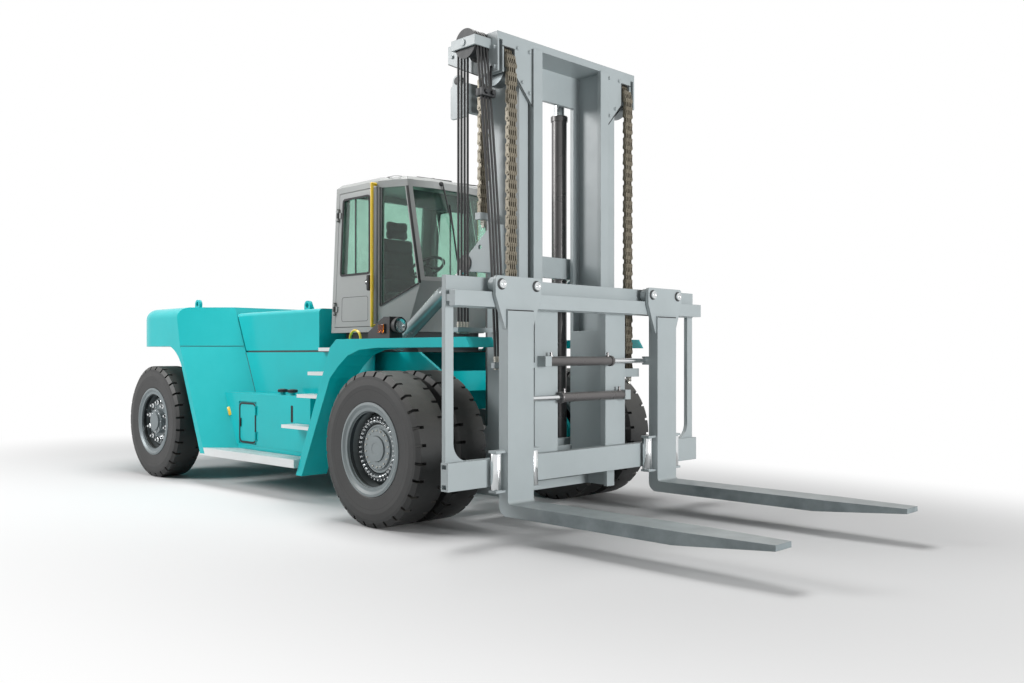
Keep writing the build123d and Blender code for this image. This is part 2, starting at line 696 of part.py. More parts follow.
HINGE_R = 14
HINGE_PIN_R = 8
lean = (CAB_REAR_HIGH - CAB_REAR_LOW, 0, CAB_TOP - CAB_FLOOR)
cab_shell = cab_wall - both(door_hole) - windows
for hinge_z in (DOOR_Z[0] + 200, DOOR_Z[1] - 230):
    hinge_x = rear_at(hinge_z) + DOOR_POST + GAP / 2
    place = Plane(origin=(hinge_x, CAB_HALF + HINGE_R, hinge_z), x_dir=(0, 1, 0), z_dir=lean)
    leaf = Pos(-HINGE_R / 2 - 1, -22, 0) * Box(HINGE_R + 2, 44, 60)
    barrel = place * (Cylinder(HINGE_R, 60) + leaf)
    door += barrel - place * Cylinder(HINGE_PIN_R + RUN, 60)
    pin = Cylinder(HINGE_PIN_R, 120)
    for end in (-48, 48):
        pin += Pos(-HINGE_R / 2 - 1, 22, end) * Box(HINGE_R + 2, 44, 20)
        pin += Pos(0, 0, end) * Cylinder(HINGE_R, 20)
    cab_shell += both(place * pin)
save("cab_shell", cab_shell)
save("cab_door_left", door)
save("cab_door_right", left_of(door))
save("door_glass_left", door_glass)
save("door_glass_right", left_of(door_glass))

# Seat, steering column and dash inside the cab
FLOOR = CAB_FLOOR + CAB_WALL
SEAT_X = (-1600, -1100)
SEAT_HALF = 250
SEAT_TOP = FLOOR + 400
BACK_TOP = FLOOR + 1000
HEAD_TOP = BACK_TOP + 190
seat = block((SEAT_X[0] + 40, SEAT_X[1] - 60), (70 - SEAT_HALF, SEAT_HALF - 70), (FLOOR, FLOOR + 260))
cushion = block(SEAT_X, (-SEAT_HALF, SEAT_HALF), (FLOOR + 260, SEAT_TOP))
seat += fillet(cushion.edges().group_by(Axis.Z)[-1], 40)
back_outline = [
    (SEAT_X[0], SEAT_TOP - 60),
    (SEAT_X[0] + 120, SEAT_TOP - 60),
    (SEAT_X[0] + 40, BACK_TOP),
    (SEAT_X[0] - 50, BACK_TOP),
]
back = plate_xz(back_outline, (10 - SEAT_HALF, SEAT_HALF - 10))
seat += fillet(back.edges().filter_by(Axis.Z, reverse=True).group_by(Axis.Z)[-1], 30)
seat += block((SEAT_X[0] - 50, SEAT_X[0] + 30), (-130, 130), (BACK_TOP - 30, HEAD_TOP))
save("seat", seat)
DASH_X = (-880, -780)
DASH_TOP = FLOOR + 440
WHEEL_AT = (-1085, FLOOR + 656)
console = block(DASH_X, (-400, 400), (FLOOR, DASH_TOP))
console += Pos(DASH_X[0] - 80, 0, DASH_TOP) * Rot(0, -30, 0) * Cylinder(35, 500)
wheel = Torus(185, 15) + Cylinder(52, 30)
for turn in (90, 210, 330):
    wheel += Rot(0, 0, turn) * Pos(95, 0, 0) * Box(180, 30, 14)
console += Pos(WHEEL_AT[0], 0, WHEEL_AT[1]) * Rot(0, -30, 0) * wheel
save("steering_console", console)

# Handrails: one up each front door post, one hoop on each fender
RAIL_R = 17
RAIL_X = -1095
RAIL_Y = CAB_HALF + 50
RAIL_Z = (CAB_FLOOR + 60, CAB_TOP - 70)
HOOP_R = 88
HOOP_WIRE = 12
HOOP_AT = (-950, FENDER_OUT - 155)
rail = bar_z(RAIL_X, RAIL_Y, RAIL_R, RAIL_Z)
for rail_z in RAIL_Z:
    rail += bar_y(RAIL_X, rail_z, RAIL_R, (CAB_HALF, RAIL_Y))
    rail += Pos(RAIL_X, RAIL_Y, rail_z) * Sphere(RAIL_R)
hoop = Pos(HOOP_AT[0], HOOP_AT[1], FENDER_TOP) * Rot(90, 0, 0) * Torus(HOOP_R, HOOP_WIRE)
hoop_room = (HOOP_AT[0] - 2 * HOOP_R, HOOP_AT[0] + 2 * HOOP_R)
rail += hoop & block(hoop_room, (FENDER_IN, FENDER_OUT), (FENDER_TOP, CAB_TOP))
save("handrails", both(rail))

# Headlamps: a wedge-shaped holder, a round lamp ahead, an indicator beside
LAMP_X = -225
LAMP_Y = FENDER_OUT - 88
LAMP_Z = FENDER_TOP + 118
LAMP_R = 76
holder = [
    (LAMP_X - 330, FENDER_TOP),
    (LAMP_X, FENDER_TOP),
    (LAMP_X, LAMP_Z + 82),
    (LAMP_X - 90, LAMP_Z + 82),
    (LAMP_X - 330, FENDER_TOP + 60),
]
lamp = plate_xz(holder, (LAMP_Y - 80, LAMP_Y + 70))
bowl = [(0, 0), (LAMP_R - 16, 0), (LAMP_R, 40), (LAMP_R, 74), (LAMP_R - 10, 74), (LAMP_R - 10, 62), (0, 62)]
lamp += Pos(LAMP_X, LAMP_Y, LAMP_Z) * Rot(0, 0, -90) * revolve(face_of(bowl), axis=Axis.Y)
lamp += block((LAMP_X - 150, LAMP_X - 60), (LAMP_Y + 70, LAMP_Y + 85), (LAMP_Z - 70, LAMP_Z + 15))
save("headlamps", both(lamp))

# Mast. Outer uprights are channels; the inner mast runs inside them.
OUTER_X = (543, 942)
OUTER_Z = (250, MAST_TOP - 177)
INNER_X = (600, 984)
INNER_Y = (402, 515)
INNER_Z = (440, MAST_TOP - 64)
HEAD_FRONT = 965
FLANGE = 40
WEB = 30
CARRIAGE_REAR = INNER_X[0] + FLANGE + 10
CYLINDER_X = 410
CYLINDER_Y = 450
CYLINDER_R = 75
LIFT_ROD_R = 52
BARREL_FLOOR = OUTER_Z[0] + 110
BARREL_TOP = MAST_TOP - 400
ROD_FOOT = BARREL_TOP - LIFT_STROKE - 500
CHAIN_Y = (749, 854)
CHAIN_X = 991
CHAIN_THICK = 50
SHEAVE_R = 150
CHAIN_R = SHEAVE_R + CHAIN_THICK / 2
SHEAVE_X = CHAIN_X - CHAIN_R
SHEAVE_Z = MAST_TOP - 277
CHAIN_REAR_X = SHEAVE_X - CHAIN_R
CHAIN_FRONT_END = 1385
CHAIN_REAR_END = 2760


def channel(x, y, z):
    """An upright: web on the outer side, flanges front and rear."""
    solid = block(x, (y[1] - WEB, y[1]), z)
    solid += block((x[1] - FLANGE, x[1]), y, z)
    return solid + block((x[0], x[0] + FLANGE), y, z)


outer_side = channel(OUTER_X, OUTER_Y, OUTER_Z)
foot_outline = [
    (OUTER_X[0], 880),
    (MAST_PIVOT[0] - 90, MAST_PIVOT[1] + 60),
    (MAST_PIVOT[0] - 90, MAST_PIVOT[1] - 60),
    (MAST_PIVOT[0] - 30, MAST_PIVOT[1] - 100),
    (OUTER_X[0], 430),
]
foot = plate_xz(foot_outline, (FRAME_OUT + GAP, OUTER_Y[1]))
foot -= bar_y(*MAST_PIVOT, MAST_PIN_R + RUN, (0, 1000))
outer_side += foot
LUG_FRONT = OUTER_X[0] + 217
LUG_Z = (TILT_HEAD[1] - 103, TILT_HEAD[1] + 327)
LUG_HOLE_R = 21
lug_outline = [
    (LUG_FRONT, LUG_Z[0]),
    (TILT_HEAD[0] + 15, LUG_Z[0] + 30),
    (TILT_HEAD[0] - 60, TILT_HEAD[1] - 33),
    (TILT_HEAD[0] - 60, TILT_HEAD[1] + 37),
    (TILT_HEAD[0] + 35, TILT_HEAD[1] + 72),
    (LUG_FRONT, LUG_Z[1]),
]
lug_rounds = ((2, 40), (3, 40))
lug_outer = (TILT_Y + TILT_HALF + 9, TILT_Y + TILT_HALF + 29)
outer_side += plate_xz(lug_outline, (OUTER_Y[1], OUTER_Y[1] + 25), lug_rounds)
outer_side += plate_xz(lug_outline, lug_outer, lug_rounds)
outer_side -= bar_y(LUG_FRONT - 160, TILT_HEAD[1] + 132, LUG_HOLE_R, lug_outer)
outer_side += block((LUG_FRONT - 25, LUG_FRONT), (OUTER_Y[1], lug_outer[1]), LUG_Z)
outer_side += bar_y(*TILT_HEAD, TILT_PIN_R, (OUTER_Y[1], lug_outer[1]))
anchor_x = (CHAIN_REAR_X - 35, CHAIN_REAR_X + 35)
outer_side += block(anchor_x, (OUTER_Y[1], CHAIN_Y[1] + 10), (CHAIN_REAR_END - 60, CHAIN_REAR_END))
# Crosshead wings at the top: an arm out from the upright, an eye plate on its end
HEAD_REAR = CYLINDER_X - 80
WING_Y = (CHAIN_Y[1] + 32, CHAIN_Y[1] + 54)
WING_Z = (OUTER_Z[1] - 470, OUTER_Z[1] - 175)
WING_EYE = (HEAD_REAR + 85, OUTER_Z[1] - 135)
wing = [
    (HEAD_REAR, WING_Z[0]),
    (OUTER_X[0], WING_Z[0]),
    (OUTER_X[0], WING_Z[1]),
    (WING_EYE[0] + 60, WING_Z[1]),
    (WING_EYE[0] + 50, WING_EYE[1] + 50),
    (WING_EYE[0] - 50, WING_EYE[1] + 50),
    (WING_EYE[0] - 60, WING_Z[1]),
    (HEAD_REAR, WING_Z[1]),
]
wing_rounds = ((0, 20), (4, 45), (5, 45), (7, 20))
outer_side += plate_xz(wing, WING_Y, wing_rounds) - bar_y(*WING_EYE, EYE_R, WING_Y)
outer_side += block((OUTER_X[0] - 48, OUTER_X[0]), (OUTER_Y[0], WING_Y[1]), (WING_Z[0] + 40, WING_Z[1]))
outer_mast = both(outer_side)
rear_ties = [
    # z low, z high
    (OUTER_Z[1] - 85, OUTER_Z[1] - 5),
    (LUG_Z[0] + 20, LUG_Z[0] + 220),
    (OUTER_Z[0] + 250, OUTER_Z[0] + 450),
]
for z_low, z_high in rear_ties:
    outer_mast += block(
        (OUTER_X[0] - 48, OUTER_X[0]), (-OUTER_Y[1], OUTER_Y[1]), (z_low, z_high)
    )
outer_mast += block(
    (CYLINDER_X - 80, CARRIAGE_REAR - 4 * GAP),
    (-OUTER_Y[1], OUTER_Y[1]),
    (OUTER_Z[0], OUTER_Z[0] + 80),
)
HOSE_Y = [966, 1002, 1038, 1074]
HOSE_R = 14
HOSE_REAR_X = 620
HOSE_FOOT = 1750
outer_mast += block(
    (HOSE_REAR_X - 30, HOSE_REAR_X + 30), (-HOSE_Y[3] - 30, -OUTER_Y[1]), (HOSE_FOOT - 40, HOSE_FOOT)
)
save("mast_outer", outer_mast)

barrel = bar_z(CYLINDER_X, CYLINDER_Y, CYLINDER_R, (OUTER_Z[0] + 80, BARREL_TOP))
barrel -= bar_z(CYLINDER_X, CYLINDER_Y, LIFT_ROD_R + RUN, (BARREL_FLOOR, BARREL_TOP))
save("lift_barrels", both(barrel))

inner_side = channel(INNER_X, INNER_Y, INNER_Z)
roller_x = (OUTER_X[0] + OUTER_X[1]) / 2
roller_r = (OUTER_X[1] - OUTER_X[0]) / 2 - FLANGE - RUN
for roller_z in (640, 1000):
    inner_side += bar_y(roller_x, roller_z, roller_r, (INNER_Y[1], OUTER_Y[1] - WEB - GAP))
for y_low, x_high in ((CHAIN_Y[0] - 25, SHEAVE_X + 84), (CHAIN_Y[1] + 8, HEAD_FRONT)):
    inner_side += block((SHEAVE_X - 96, x_high), (y_low, y_low + 17), (SHEAVE_Z - 60, INNER_Z[1]))
inner_side += bar_y(SHEAVE_X, SHEAVE_Z, 40, (CHAIN_Y[0] - 25, CHAIN_Y[1] + 25))
# Apron: a plate in front of each chain sheave, cut away round the chain
APRON_X = (HEAD_FRONT - 15, HEAD_FRONT)
apron = [
    (INNER_Y[1], INNER_Z[1]),
    (CHAIN_Y[1] + 25, INNER_Z[1]),
    (CHAIN_Y[1] + 25, SHEAVE_Z + SHEAVE_R + 10),
    (CHAIN_Y[0] - 12, SHEAVE_Z + SHEAVE_R + 10),
    (CHAIN_Y[0] - 12, SHEAVE_Z - 51),
    (INNER_Y[1], SHEAVE_Z - 295),
]
inner_side += plate_yz(apron, APRON_X)
# Cheeks close the head's sides
HEAD_HALF = CHAIN_Y[1] + 83
cheek = [
    (HEAD_REAR, INNER_Z[1]),
    (HEAD_REAR, INNER_Z[1] - 92),
    (SHEAVE_X - 96, SHEAVE_Z - 60),
    (HEAD_FRONT, SHEAVE_Z - 60),
    (HEAD_FRONT, INNER_Z[1]),
]
inner_side += plate_xz(cheek, (HEAD_HALF - 20, HEAD_HALF), ((2, 60),))
inner_mast = both(inner_side)
inner_mast += block((HEAD_REAR, HEAD_FRONT), (-HEAD_HALF, HEAD_HALF), (INNER_Z[1], MAST_TOP))
for z_low, z_high in ((INNER_Z[1] - 298, INNER_Z[1]), (INNER_Z[0] + 40, INNER_Z[0] + 200)):
    inner_mast += block((INNER_X[0], INNER_X[0] + FLANGE), (-INNER_Y[0], INNER_Y[0]), (z_low, z_high))
HOSE_SHEAVE_R = 103
HOSE_SHEAVE_X = HOSE_REAR_X + HOSE_SHEAVE_R + HOSE_R
HOSE_SHEAVE_Z = MAST_TOP - 97
HOSE_SPAN = (-HOSE_Y[3] - 28, -HOSE_Y[0] + 28)
HOLDER_HALF = HOSE_SHEAVE_R + HOSE_R + 33
holder_y = (HOSE_SPAN[0] - 26, HOSE_SPAN[0] - 10)
# The hose sheave hangs in a frame on the head's side
inner_mast += block(
    (HOSE_SHEAVE_X - HOLDER_HALF, HOSE_SHEAVE_X + HOLDER_HALF),
    holder_y,
    (HOSE_SHEAVE_Z - 42, HOSE_SHEAVE_Z + 42),
)
for x_low in (HOSE_SHEAVE_X - HOLDER_HALF, HOSE_SHEAVE_X + HOLDER_HALF - 15):
    inner_mast += block(
        (x_low, x_low + 15), (holder_y[0], -HEAD_HALF), (HOSE_SHEAVE_Z - 42, HOSE_SHEAVE_Z + 42)
    )
inner_mast += bar_y(HOSE_SHEAVE_X, HOSE_SHEAVE_Z, 30, (holder_y[0] - 10, -HEAD_HALF))
save("mast_inner", inner_mast)

lift_rod = bar_z(CYLINDER_X, CYLINDER_Y, LIFT_ROD_R, (ROD_FOOT, INNER_Z[1]))
save("lift_rods", both(lift_rod))

sheave = bar_y(SHEAVE_X, SHEAVE_Z, SHEAVE_R, CHAIN_Y)
sheave -= bar_y(SHEAVE_X, SHEAVE_Z, 40, CHAIN_Y)
save("chain_sheaves", both(sheave))


def half_ring(x, z, r_in, r_out, y):
    """The upper half of a ring about a Y axis."""
    ring = bar_y(x, z, r_out, y) - bar_y(x, z, r_in, y)
    return ring & block((x - r_out, x + r_out), y, (z, z + r_out))


chain_wrap = half_ring(SHEAVE_X, SHEAVE_Z, SHEAVE_R, SHEAVE_R + CHAIN_THICK, CHAIN_Y)
save("chain_wraps", both(chain_wrap))
CHAIN_PITCH = 76.2
CHAIN_NECK = 22


def chain_run(x, z):
    """A straight run of links with a neck between each two."""
    near = x - CHAIN_THICK / 2
    far = x + CHAIN_THICK / 2
    pitches = round((z[1] - z[0]) / CHAIN_PITCH)
    step = (z[1] - z[0]) / pitches
    front = []
    for link in range(pitches):
        low = z[0] + link * step
        front += [(far, low), (far, low + step - CHAIN_NECK)]
        front += [(far - 10, low + step - CHAIN_NECK), (far - 10, low + step)]
    rear = [(near + far - place, height) for place, height in reversed(front)]
    return plate_xz(front + rear, CHAIN_Y)


save("chains_front", both(chain_run(CHAIN_X, (CHAIN_FRONT_END, SHEAVE_Z))))
save("chains_rear", both(chain_run(CHAIN_REAR_X, (CHAIN_REAR_END, SHEAVE_Z))))

# Hoses on the right side of the mast, over their own sheave
hose_sheave = bar_y(HOSE_SHEAVE_X, HOSE_SHEAVE_Z, HOSE_SHEAVE_R, HOSE_SPAN)
for flange_y in (HOSE_SPAN[0], HOSE_SPAN[1] - 10):
    hose_sheave += bar_y(HOSE_SHEAVE_X, HOSE_SHEAVE_Z, HOSE_SHEAVE_R + 25, (flange_y, flange_y + 10))
hose_sheave -= bar_y(HOSE_SHEAVE_X, HOSE_SHEAVE_Z, 30, HOSE_SPAN)
save("hose_sheave", hose_sheave)
HOSE_END = (1070, 1450)
HOSE_FRONT_X = HOSE_SHEAVE_X + HOSE_SHEAVE_R + HOSE_R
hoses_rear = Part()
hoses_front = Part()
hose_wraps = Part()
for y in HOSE_Y:
    hoses_rear += bar_z(HOSE_REAR_X, -y, HOSE_R, (HOSE_FOOT, HOSE_SHEAVE_Z))
    start = Vector(HOSE_FRONT_X, -y, HOSE_SHEAVE_Z)
    end = Vector(HOSE_END[0], -y, HOSE_END[1])
    run = Plane(origin=start, z_dir=end - start)
    hose = extrude(run * Circle(HOSE_R), amount=(end - start).length)
    hose += extrude(run * Circle(HOSE_R), amount=-2 * HOSE_R)
    run_room = (HOSE_FRONT_X - 2 * HOSE_R, HOSE_END[0] + 2 * HOSE_R)
    hose_room = block(run_room, HOSE_SPAN, (HOSE_END[1], HOSE_SHEAVE_Z))
    hoses_front += hose & hose_room
    wrap_path = CenterArc((0, 0), HOSE_SHEAVE_R + HOSE_R, 0, 180)
    wrap_plane = Plane(
        origin=(HOSE_SHEAVE_X, -y, HOSE_SHEAVE_Z), x_dir=(1, 0, 0), z_dir=(0, -1, 0)
    )
    path = wrap_plane * wrap_path
    ring = Plane(origin=path @ 0, z_dir=path % 0) * Circle(HOSE_R)
    hose_wraps += sweep(ring, path=path)
save("hoses_rear", hoses_rear)
save("hoses_front", hoses_front)
save("hose_wraps", hose_wraps)

# Carriage: side plates with rollers, front plates and two cross beams
PLATE_Y = (360, 390)
FRONT_PLATE_X = (1040, 1100)
FRONT_PLATE_Y = (330, 620)
LOWER_BEAM_FACE = 1183
LOWER_BEAM_Z = (444, 668)
BEAM_HALF_WIDTH = 1685
UPPER_BEAM_Z = (1890, 2138)
UPPER_BEAM_FACE = 1147
RAIL_FACE = 1249
FORK_RAIL_Z = (1896, 2019)
RAIL_HALF_WIDTH = BEAM_HALF_WIDTH - 14
POST_Y = (BEAM_HALF_WIDTH - 95, BEAM_HALF_WIDTH - 10)

CARRIAGE_Z = (LOWER_BEAM_Z[0] + 36, UPPER_BEAM_Z[0] - 150)
carriage_side = block((CARRIAGE_REAR, FRONT_PLATE_X[0]), PLATE_Y, CARRIAGE_Z)
guide_x = (INNER_X[0] + INNER_X[1]) / 2
guide_r = (INNER_X[1] - INNER_X[0]) / 2 - FLANGE - RUN
for roller_z in (CARRIAGE_Z[0] + 160, CARRIAGE_Z[1] - 180):
    carriage_side += bar_y(guide_x, roller_z, guide_r, (PLATE_Y[1], INNER_Y[1] - WEB - GAP))
carriage_side += block(FRONT_PLATE_X, FRONT_PLATE_Y, (LOWER_BEAM_Z[0], UPPER_BEAM_Z[1]))
anchor_z = (CHAIN_FRONT_END - 85, CHAIN_FRONT_END - 5)
carriage_side += block(
    (FRONT_PLATE_X[0], FRONT_PLATE_X[0] + 40), (FRONT_PLATE_Y[1], CHAIN_Y[1] + 10), anchor_z
)
carriage_side += block((CHAIN_X - 25, FRONT_PLATE_X[0]), CHAIN_Y, anchor_z)
carriage_side += block(
    (FRONT_PLATE_X[1], FRONT_PLATE_X[1] + 40), POST_Y, (LOWER_BEAM_Z[1], UPPER_BEAM_Z[0])
)
POST_CURVE = 150
post_x = (FRONT_PLATE_X[1], FRONT_PLATE_X[1] + 40)
curve_y = (POST_Y[0] - POST_CURVE, POST_Y[0])
curve_z = (LOWER_BEAM_Z[1], LOWER_BEAM_Z[1] + POST_CURVE)
curve = block(post_x, curve_y, curve_z)
carriage_side += curve - bar_x(curve_y[0], curve_z[1], POST_CURVE, post_x)
carriage = both(carriage_side)
carriage += block(
    (FRONT_PLATE_X[1], LOWER_BEAM_FACE), (-BEAM_HALF_WIDTH, BEAM_HALF_WIDTH), LOWER_BEAM_Z
)
NOTCH = 34
for z_low in (LOWER_BEAM_Z[0] + 16, LOWER_BEAM_Z[1] - 16 - NOTCH):
    notch = block(
        (FRONT_PLATE_X[1] + 10, LOWER_BEAM_FACE - 20),
        (BEAM_HALF_WIDTH - NOTCH, BEAM_HALF_WIDTH),
        (z_low, z_low + NOTCH),
    )
    carriage -= both(notch)
carriage += block((FRONT_PLATE_X[1], UPPER_BEAM_FACE), (-POST_Y[1], POST_Y[1]), UPPER_BEAM_Z)
rail_span = (-RAIL_HALF_WIDTH, RAIL_HALF_WIDTH)
rail_rear = RAIL_FACE - 64
carriage += block((UPPER_BEAM_FACE, rail_rear), rail_span, (FORK_RAIL_Z[0] + 34, FORK_RAIL_Z[1] - 34))
carriage += block((rail_rear, RAIL_FACE), rail_span, FORK_RAIL_Z)
carriage += block(
    (FRONT_PLATE_X[0] + 20, FRONT_PLATE_X[1]),
    (-HOSE_Y[3] - 30, -FRONT_PLATE_Y[1]),
    (HOSE_END[1] - 50, HOSE_END[1] - 5),
)

# Fork positioners: barrels on the carriage, rods on the forks
POSITIONER_X = FRONT_PLATE_X[1] + 50
POSITIONER_R = 42
POSITIONER_ROD_R = 24
POSITIONER_Z = {"left": 1456, "right": 1138}
POSITIONER_BASE = -508
POSITIONER_HEAD = 351
ROD_INNER_END = -26
FORK_IN = FORK_SPREAD - FORK_WIDTH / 2


def positioner(z):
    barrel = bar_y(POSITIONER_X, z, POSITIONER_R, (POSITIONER_BASE, POSITIONER_HEAD))
    bore = POSITIONER_ROD_R + RUN
    return barrel - bar_y(POSITIONER_X, z, bore, (POSITIONER_BASE + 15, POSITIONER_HEAD))


def base_block(z):
    return block((FRONT_PLATE_X[1], 1195), (POSITIONER_BASE - 80, POSITIONER_BASE), (z - 45, z + 45))


carriage += base_block(POSITIONER_Z["left"]) + left_of(base_block(POSITIONER_Z["right"]))
save("carriage", carriage)
barrels = positioner(POSITIONER_Z["left"]) + left_of(positioner(POSITIONER_Z["right"]))
save("positioner_barrels", barrels)

# Forks, drawn on the left side; the rod's height differs
HOOK_TOP = FORK_RAIL_Z[1] + 131
SHANK_TOP = FORK_RAIL_Z[0] - 16
TIP_HALF = 100
ROLLER_AT = 212
BLADE = FORK_THICK - 4
HOOK_PIN_Z = FORK_RAIL_Z[1] + 62
HOOK_HALF = 266
half_fork = FORK_WIDTH / 2


def fork(rod_z):
    profile = [
        (SHANK_REAR, SHANK_TOP),
        (SHANK_REAR, FORK_BOTTOM),
        (FORK_TIP - 771, FORK_BOTTOM),
        (FORK_TIP, FORK_BOTTOM + BLADE - 40),
        (FORK_TIP, FORK_BOTTOM + BLADE),
        (SHANK_FRONT, FORK_BOTTOM + BLADE),
        (SHANK_FRONT, SHANK_TOP),
    ]
    solid = plate_xz(profile, (-half_fork, half_fork), ((1, 85), (5, 30)))
    outline = [
        (SHANK_REAR, half_fork),
        (FORK_TIP - 671, half_fork),
        (FORK_TIP, TIP_HALF),
        (FORK_TIP, -TIP_HALF),
        (FORK_TIP - 671, -half_fork),
        (SHANK_REAR, -half_fork),
    ]
    solid = solid & plate_xy(outline, (0, SHANK_TOP))
    hook = [
        (half_fork, SHANK_TOP - 180),
        (HOOK_HALF, HOOK_TOP - 160),
        (HOOK_HALF, HOOK_TOP),
        (-HOOK_HALF, HOOK_TOP),
        (-HOOK_HALF, HOOK_TOP - 160),
        (-half_fork, SHANK_TOP - 180),
    ]
    hook_rounds = ((0, 60), (1, 40), (2, 30), (3, 30), (4, 40), (5, 60))
    solid += plate_yz(hook, (RAIL_FACE + GAP, RAIL_FACE + 40), hook_rounds)
    for y in (-HOOK_HALF + 64, HOOK_HALF - 64):
        solid += bar_x(y, HOOK_PIN_Z, 25, (RAIL_FACE - 59, RAIL_FACE + 60))
        solid += bar_x(y, HOOK_PIN_Z, HOOK_PIN_Z - FORK_RAIL_Z[1] - RUN, (RAIL_FACE - 59, RAIL_FACE))
    roller_x = LOWER_BEAM_FACE + GAP + 46
    for y in (-ROLLER_AT, ROLLER_AT):
        solid += bar_z(roller_x, y, 46, (LOWER_BEAM_Z[0] - 24, LOWER_BEAM_Z[1] + 52))
        reach = (min(y, 0) - 46, max(y, 0) + 46)
        for z in (LOWER_BEAM_Z[0] - 44, LOWER_BEAM_Z[1] + 52):
            solid += block((roller_x - 40, roller_x + 50), reach, (z, z + 20))
    rod_block = (POSITIONER_X - 25, SHANK_REAR)
    solid += block(rod_block, (-half_fork, -half_fork + 45), (rod_z - 40, rod_z + 40))
    return Pos(0, FORK_SPREAD, 0) * solid


def positioner_rod(z):
    return bar_y(POSITIONER_X, z, POSITIONER_ROD_R, (ROD_INNER_END, FORK_IN))


save("fork_left", fork(POSITIONER_Z["left"]))
save("fork_right", left_of(fork(POSITIONER_Z["right"])))
save("positioner_rod_left", positioner_rod(POSITIONER_Z["left"]))
save("positioner_rod_right", left_of(positioner_rod(POSITIONER_Z["right"])))

# Tilt cylinders from the chassis to the mast lugs
TILT_BARREL_R = 70
TILT_ROD_R = 38
tilt_length = hypot(TILT_HEAD[0] - TILT_FOOT[0], TILT_HEAD[1] - TILT_FOOT[1])
tilt_angle = degrees(atan2(TILT_HEAD[1] - TILT_FOOT[1], TILT_HEAD[0] - TILT_FOOT[0]))
TILT_PLAY = 10
TILT_BARREL = 830
TILT_INSIDE = 430
barrel = bar_y(0, 0, 75, (-TILT_HALF, TILT_HALF))
barrel += bar_x(0, 0, TILT_BARREL_R, (50, TILT_BARREL))
barrel -= bar_x(0, 0, TILT_ROD_R + RUN, (120, TILT_BARREL))
barrel -= bar_y(0, 0, TILT_PIN_R + RUN, (-TILT_HALF, TILT_HALF))
# The rod's eye has play on its pin: the mast swings on an arc
eye_r = TILT_PIN_R + TILT_PLAY + 22
rod = bar_y(tilt_length, 0, eye_r, (-TILT_HALF, TILT_HALF))
rod += bar_x(0, 0, TILT_ROD_R, (TILT_INSIDE, tilt_length - TILT_PIN_R - TILT_PLAY))
rod -= bar_y(tilt_length, 0, TILT_PIN_R + TILT_PLAY, (-TILT_HALF, TILT_HALF))
for side, y in (("left", TILT_Y), ("right", -TILT_Y)):
    place = Pos(TILT_FOOT[0], y, TILT_FOOT[1]) * Rot(0, -tilt_angle, 0)
    save(f"tilt_barrel_{side}", place * barrel)
    save(f"tilt_rod_{side}", place * rod)
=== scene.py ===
# %% [markdown]
# # A heavy forklift truck, dressed in Blender
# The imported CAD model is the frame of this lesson: every solid is already in place,
# in metres, and each one rides on the body that moves it. Here the frame gets its
# finishes, and the pieces that a CAD solid only hints at are modelled by hand.

# %% Load the frame
import math

import bmesh
import bpy
from mathutils import Matrix, Vector


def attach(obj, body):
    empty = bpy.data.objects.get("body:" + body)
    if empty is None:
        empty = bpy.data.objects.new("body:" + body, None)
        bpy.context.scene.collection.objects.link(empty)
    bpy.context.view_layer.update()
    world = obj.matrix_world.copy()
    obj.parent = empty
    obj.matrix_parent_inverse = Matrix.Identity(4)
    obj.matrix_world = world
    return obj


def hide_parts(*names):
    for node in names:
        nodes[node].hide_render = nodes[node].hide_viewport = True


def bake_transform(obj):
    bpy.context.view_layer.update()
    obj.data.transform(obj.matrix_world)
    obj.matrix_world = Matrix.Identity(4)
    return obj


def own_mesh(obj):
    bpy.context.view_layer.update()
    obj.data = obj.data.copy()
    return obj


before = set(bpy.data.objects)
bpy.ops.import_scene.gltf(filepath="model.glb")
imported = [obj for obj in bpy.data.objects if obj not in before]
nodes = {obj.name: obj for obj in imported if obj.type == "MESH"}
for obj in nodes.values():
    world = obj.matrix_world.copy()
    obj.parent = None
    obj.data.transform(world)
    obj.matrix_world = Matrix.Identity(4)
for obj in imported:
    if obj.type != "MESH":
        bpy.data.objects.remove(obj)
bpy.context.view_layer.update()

# %% [markdown]
# ## Camera
# The photograph was taken from the right front with a level camera, so the uprights
# stay vertical. A small shift moves the picture instead of tilting the camera, which
# keeps those lines straight.

# %% Camera
camera_data = bpy.data.cameras.new("yard_camera")
camera = bpy.data.objects.new("yard_camera", camera_data)
bpy.context.scene.collection.objects.link(camera)
camera.location = (7.7245, -6.548, 1.5155)
camera.rotation_euler = (math.radians(90), 0, math.radians(45.058))
camera_data.lens = 33.47
camera_data.sensor_width = 36
camera_data.shift_y = 0.0126
camera_data.clip_end = 200
camera_data.dof.use_dof = False
bpy.context.scene.camera = camera
print("camera at", tuple(round(v, 2) for v in camera.location))

# %% [markdown]
# ## Studio
# A white sweep: the floor is a large pale plane that takes a soft shadow under the
# truck, and further out it turns into plain white light so that its edge never shows.
# The truck is long and narrow, so the fade is measured in an ellipse round it. Three
# large lamps light the scene: one from behind on the right, one in front, one above.

# %% World
WHITE = (1, 1, 1, 1)
SOFT_AIR = 0.16


def plug(tree, socket, value):
    """Give a socket a number or a colour, or a wire from another node's output."""
    if hasattr(value, "links"):
        tree.links.new(value, socket)
    elif value is not None:
        socket.default_value = value


def feed(tree, made, **sockets):
    """Plug values or wires into a node's sockets by name."""
    for name, value in sockets.items():
        plug(tree, made.inputs[name.replace("_", " ")], value)


def node_at(tree, kind, **sockets):
    """Add a shader node to the tree, beside the last one, and feed its sockets."""
    made = tree.nodes.new("ShaderNode" + kind)
    made.location = (200 * len(tree.nodes), 0)
    feed(tree, made, **sockets)
    return made


